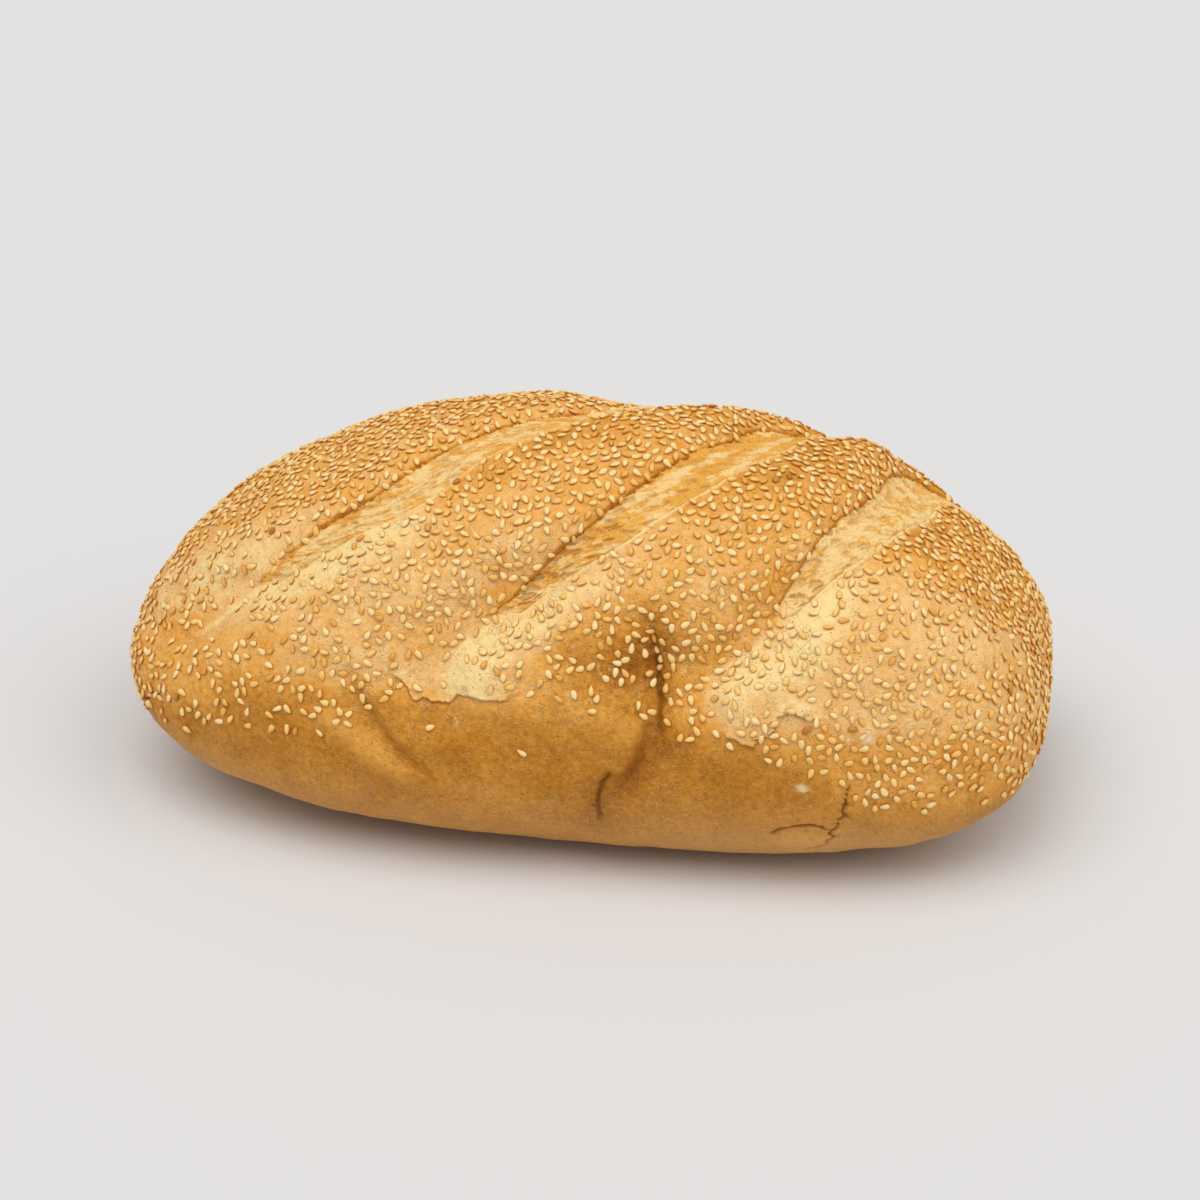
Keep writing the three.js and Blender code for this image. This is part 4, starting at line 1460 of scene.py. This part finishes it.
class LoafSeeds(PropertyGroup):
    length: length_property("Length", "Length of a seed", 0.0032)
    width: length_property("Width", "Width of a seed", 0.0021)
    thickness: length_property("Thickness", "Thickness of a seed", 0.00125)
    spacing: length_property("Spacing", "Least distance between seeds", 0.00285)
    density: amount_property("Density", "Tries at placing a seed on a square metre", 500000.0)
    lift: length_property("Lift", "Height of a seed's middle above the crust", 0.0003)
    golden_share: share_property("Golden", "Share of the seeds that are golden", 0.42)
    toasted_share: share_property("Toasted", "Share of the seeds that are toasted", 0.12)
    dark_share: share_property("Dark", "Share of the seeds that are browned", 0.003)
    seed: IntProperty(name="Seed", description="Number that the scatter is drawn from", default=4)
    cream: colour_property("Cream", "Light side of a plain seed", (0.97, 0.72, 0.33))
    straw: colour_property("Straw", "Deep side of a plain seed", (0.94, 0.64, 0.23))
    wheat: colour_property("Wheat", "Light side of a golden seed", (0.94, 0.64, 0.22))
    honey: colour_property("Honey", "Deep side of a golden seed", (0.89, 0.52, 0.13))
    golden: colour_property("Golden", "Light side of a toasted seed", (0.86, 0.48, 0.11))
    amber: colour_property("Amber", "Deep side of a toasted seed", (0.76, 0.37, 0.055))
    rust: colour_property("Rust", "Light side of a browned seed", (0.60, 0.27, 0.045))
    umber: colour_property("Umber", "Deep side of a browned seed", (0.46, 0.17, 0.02))
    # Partly toasting, partly painted shade on the lower half of a seed.
    rim_toast_and_shade: colour_property("Rim", "Toasted rim of a seed", (0.49, 0.17, 0.005))


class LoafStage(PropertyGroup):
    floor: colour_property("Floor", "Plain pale floor", (0.715, 0.715, 0.722))
    air: colour_property("Air", "Colour of the even light", (1.0, 0.99, 0.98))
    lamp: colour_property("Lamp", "Colour of the overhead light and the fill", (1.0, 0.985, 0.965))
    sky: amount_property("Sky", "Strength of the even light", 0.44)
    key: amount_property("Key", "Strength of the soft overhead light", 1.50)
    key_height: angle_property("Key height", "Height of the overhead light", 68)
    key_turn: angle_property("Key turn", "Where the overhead light comes from, turned from the front", -30)
    key_softness: angle_property("Key softness", "Width of the overhead light and the fill", 52)
    fill: amount_property("Fill", "Strength of the light from the other side", 0.82)
    fill_height: angle_property("Fill height", "Height of the fill light", 50)
    fill_turn: angle_property("Fill turn", "Where the fill light comes from, turned from the front", 70)
    lens: amount_property("Lens", "Focal length, in millimetres", 85.0)
    distance: length_property("Distance", "From the camera to where it aims", 0.9244)
    turn: angle_property("Turn", "Camera's turn from the front", 11)
    rise: angle_property("Rise", "Camera's angle above the floor", 27.6)
    aim_side: length_property("Aim side", "Aim right of the loaf's middle", 0.00355)
    aim_height: length_property("Aim height", "Height that the camera aims at", 0.05994)


# ------------------------------------------------------------------ operators

FLOOR_REACH = 6.0  # metres from the loaf to the sides of the floor
VIEW_REACH = 50  # metres that the camera sees
SENSOR_WIDTH = 36  # millimetres


def facing(turn, rise):
    """Unit vector from the loaf towards a turn from the front and an angle above the floor."""
    level = math.cos(rise)
    return Vector((math.sin(turn) * level, -math.cos(turn) * level, math.sin(rise)))


def lay_floor(floor_colour):
    """A wide matte floor, very faintly mottled."""
    mesh = bpy.data.meshes.new("floor")
    sides = [(-1, -1), (1, -1), (1, 1), (-1, 1)]
    corners = [(x * FLOOR_REACH, y * FLOOR_REACH, 0) for x, y in sides]
    mesh.from_pydata(corners, [], [(0, 1, 2, 3)])
    floor = put_in_scene("floor", mesh)
    material, tree, shader, coordinates = new_material("pale_floor")
    mottle = mottled(tree, coordinates, 0.9, 0.2, 0.3)
    colour = blended(tree, times(tree, mottle, 0.04), (*floor_colour, 1), (1, 1, 1, 1))
    tree.links.new(colour, shader.inputs["Base Color"])
    shader.inputs["Roughness"].default_value = 1.0
    shader.inputs["Specular IOR Level"].default_value = 0.0
    mesh.materials.append(material)


def even_light(stage):
    """A world that lights the loaf evenly from all sides."""
    world = bpy.data.worlds.new("studio")
    world.use_nodes = True
    background = world.node_tree.nodes["Background"].inputs
    background["Color"].default_value = (*stage.air, 1)
    background["Strength"].default_value = stage.sky
    return world


def soft_light(name, stage, strength, turn, rise):
    lamp = bpy.data.lights.new(name, "SUN")
    lamp.energy = strength
    lamp.angle = stage.key_softness
    lamp.color = stage.lamp
    light = put_in_scene(name, lamp)
    light.rotation_euler = facing(turn, rise).to_track_quat("Z", "Y").to_euler()


def aimed_camera(stage):
    """A camera that looks at the loaf from the stage's turn and rise."""
    lens = bpy.data.cameras.new("camera")
    lens.lens = stage.lens
    lens.sensor_width = SENSOR_WIDTH
    lens.clip_end = VIEW_REACH
    camera = put_in_scene("camera", lens)
    back = facing(stage.turn, stage.rise)
    right = Vector((math.cos(stage.turn), math.sin(stage.turn), 0))
    aim = right * stage.aim_side + Vector((-BOX_MIDDLE_X * MM, 0, stage.aim_height))
    camera.location = aim + back * stage.distance
    camera.rotation_euler = back.to_track_quat("Z", "Y").to_euler()
    return camera


class LOAF_OT_stage(Operator):
    """Lay the floor and set the lights and the camera"""

    bl_idname = "loaf.stage"
    bl_label = "Set the stage"

    def execute(self, context):
        scene = context.scene
        stage = scene.loaf_stage
        scene.view_settings.view_transform = "Standard"
        scene.view_settings.look = "None"
        lay_floor(stage.floor)
        scene.world = even_light(stage)
        soft_light("key", stage, stage.key, stage.key_turn, stage.key_height)
        soft_light("fill", stage, stage.fill, stage.fill_turn, stage.fill_height)
        scene.camera = aimed_camera(stage)
        return {"FINISHED"}


class LOAF_OT_crust(Operator):
    """Bake the crust, with its slashes, valleys and crease"""

    bl_idname = "loaf.crust"
    bl_label = "Bake the crust"

    def execute(self, context):
        x, angle, faces = skin_layout()
        # The body has no direction at its very tips, so they are taken from just beside them.
        points, masks = crust_shape(np.clip(x, 0.001 - HALF_LENGTH, HALF_LENGTH - 0.001), angle)
        points[-2:] = (-HALF_LENGTH, 0, BELLY_HEIGHT), (HALF_LENGTH, 0, BELLY_HEIGHT)
        crust = mesh_object("crust", points, faces, masks)
        finish_piece(crust, crust_material(context.scene.loaf_crust))
        return {"FINISHED"}


class LOAF_OT_crumb(Operator):
    """Tear the crumb open along the floors of the slashes"""

    bl_idname = "loaf.crumb"
    bl_label = "Tear the crumb"

    def execute(self, context):
        points, faces, masks = crumb_mesh()
        crumb = mesh_object("crumb", points, faces, masks)
        finish_piece(crumb, crumb_material(context.scene.loaf_crumb))
        return {"FINISHED"}


class LOAF_OT_seeds(Operator):
    """Scatter plain, golden, toasted and browned seeds over the crust"""

    bl_idname = "loaf.seeds"
    bl_label = "Scatter the seeds"

    def execute(self, context):
        seeds = context.scene.loaf_seeds
        crust = bpy.data.objects.get("crust")
        if crust is None:
            raise RuntimeError("bake the crust before scattering seeds")
        shapes = bpy.data.collections.new("seed_shapes")
        for number, (fullness, bend) in enumerate(SEED_OUTLINES):
            shapes.objects.link(seed_shape(f"seed_shape_{number}", fullness, bend, seeds))
        tree = seed_tree()
        shares = (
            1 - seeds.golden_share - seeds.toasted_share - seeds.dark_share,
            seeds.golden_share,
            seeds.toasted_share,
            seeds.dark_share,
        )
        ends = [*itertools.accumulate(shares[:-1]), 1.1]
        kinds = [
            ("plain_seeds", "seed", seeds.cream, seeds.straw),
            ("golden_seeds", "seed", seeds.wheat, seeds.honey),
            ("toasted_seeds", "toasted_seed", seeds.golden, seeds.amber),
            ("browned_seeds", "toasted_seed", seeds.rust, seeds.umber),
        ]
        for (name, slot, light, deep), share_from, share_to in zip(kinds, [0.0, *ends], ends):
            material = seed_material(name, light, deep, seeds.rim_toast_and_shade)
            inputs = {
                "Seed shapes": shapes,
                "Spacing": seeds.spacing,
                "Density": seeds.density,
                "Lift": seeds.lift,
                "Share from": share_from,
                "Share to": share_to,
                "Seed": seeds.seed,
                "Material": material,
            }
            piece = scattered_seeds(name, crust, tree, inputs)
            print(name, len(piece.data.vertices) // (2 + SEED_SIDES * len(SEED_STATIONS)), "seeds")
            finish_piece(piece, material)
        for shape in list(shapes.objects):
            bpy.data.objects.remove(shape)
        bpy.data.collections.remove(shapes)
        return {"FINISHED"}


class LOAF_PT_panel(Panel):
    """The steps of baking the loaf, in order"""

    bl_idname = "LOAF_PT_panel"
    bl_label = "Loaf"
    bl_space_type = "VIEW_3D"
    bl_region_type = "UI"
    bl_category = "Loaf"

    def draw(self, context):
        for step in STEPS:
            self.layout.operator(step.bl_idname)


STEPS = (LOAF_OT_stage, LOAF_OT_crust, LOAF_OT_crumb, LOAF_OT_seeds)
GROUPS = {"loaf_crust": LoafCrust, "loaf_crumb": LoafCrumb, "loaf_seeds": LoafSeeds, "loaf_stage": LoafStage}


def register():
    for kind in (*GROUPS.values(), *STEPS, LOAF_PT_panel):
        bpy.utils.register_class(kind)
    for name, kind in GROUPS.items():
        setattr(bpy.types.Scene, name, PointerProperty(type=kind))


def unregister():
    for name in GROUPS:
        delattr(bpy.types.Scene, name)
    for kind in reversed((*GROUPS.values(), *STEPS, LOAF_PT_panel)):
        bpy.utils.unregister_class(kind)


def main():
    register()
    bpy.ops.loaf.stage()
    bpy.ops.loaf.crust()
    bpy.ops.loaf.crumb()
    bpy.ops.loaf.seeds()


if __name__ == "__main__":
    main()
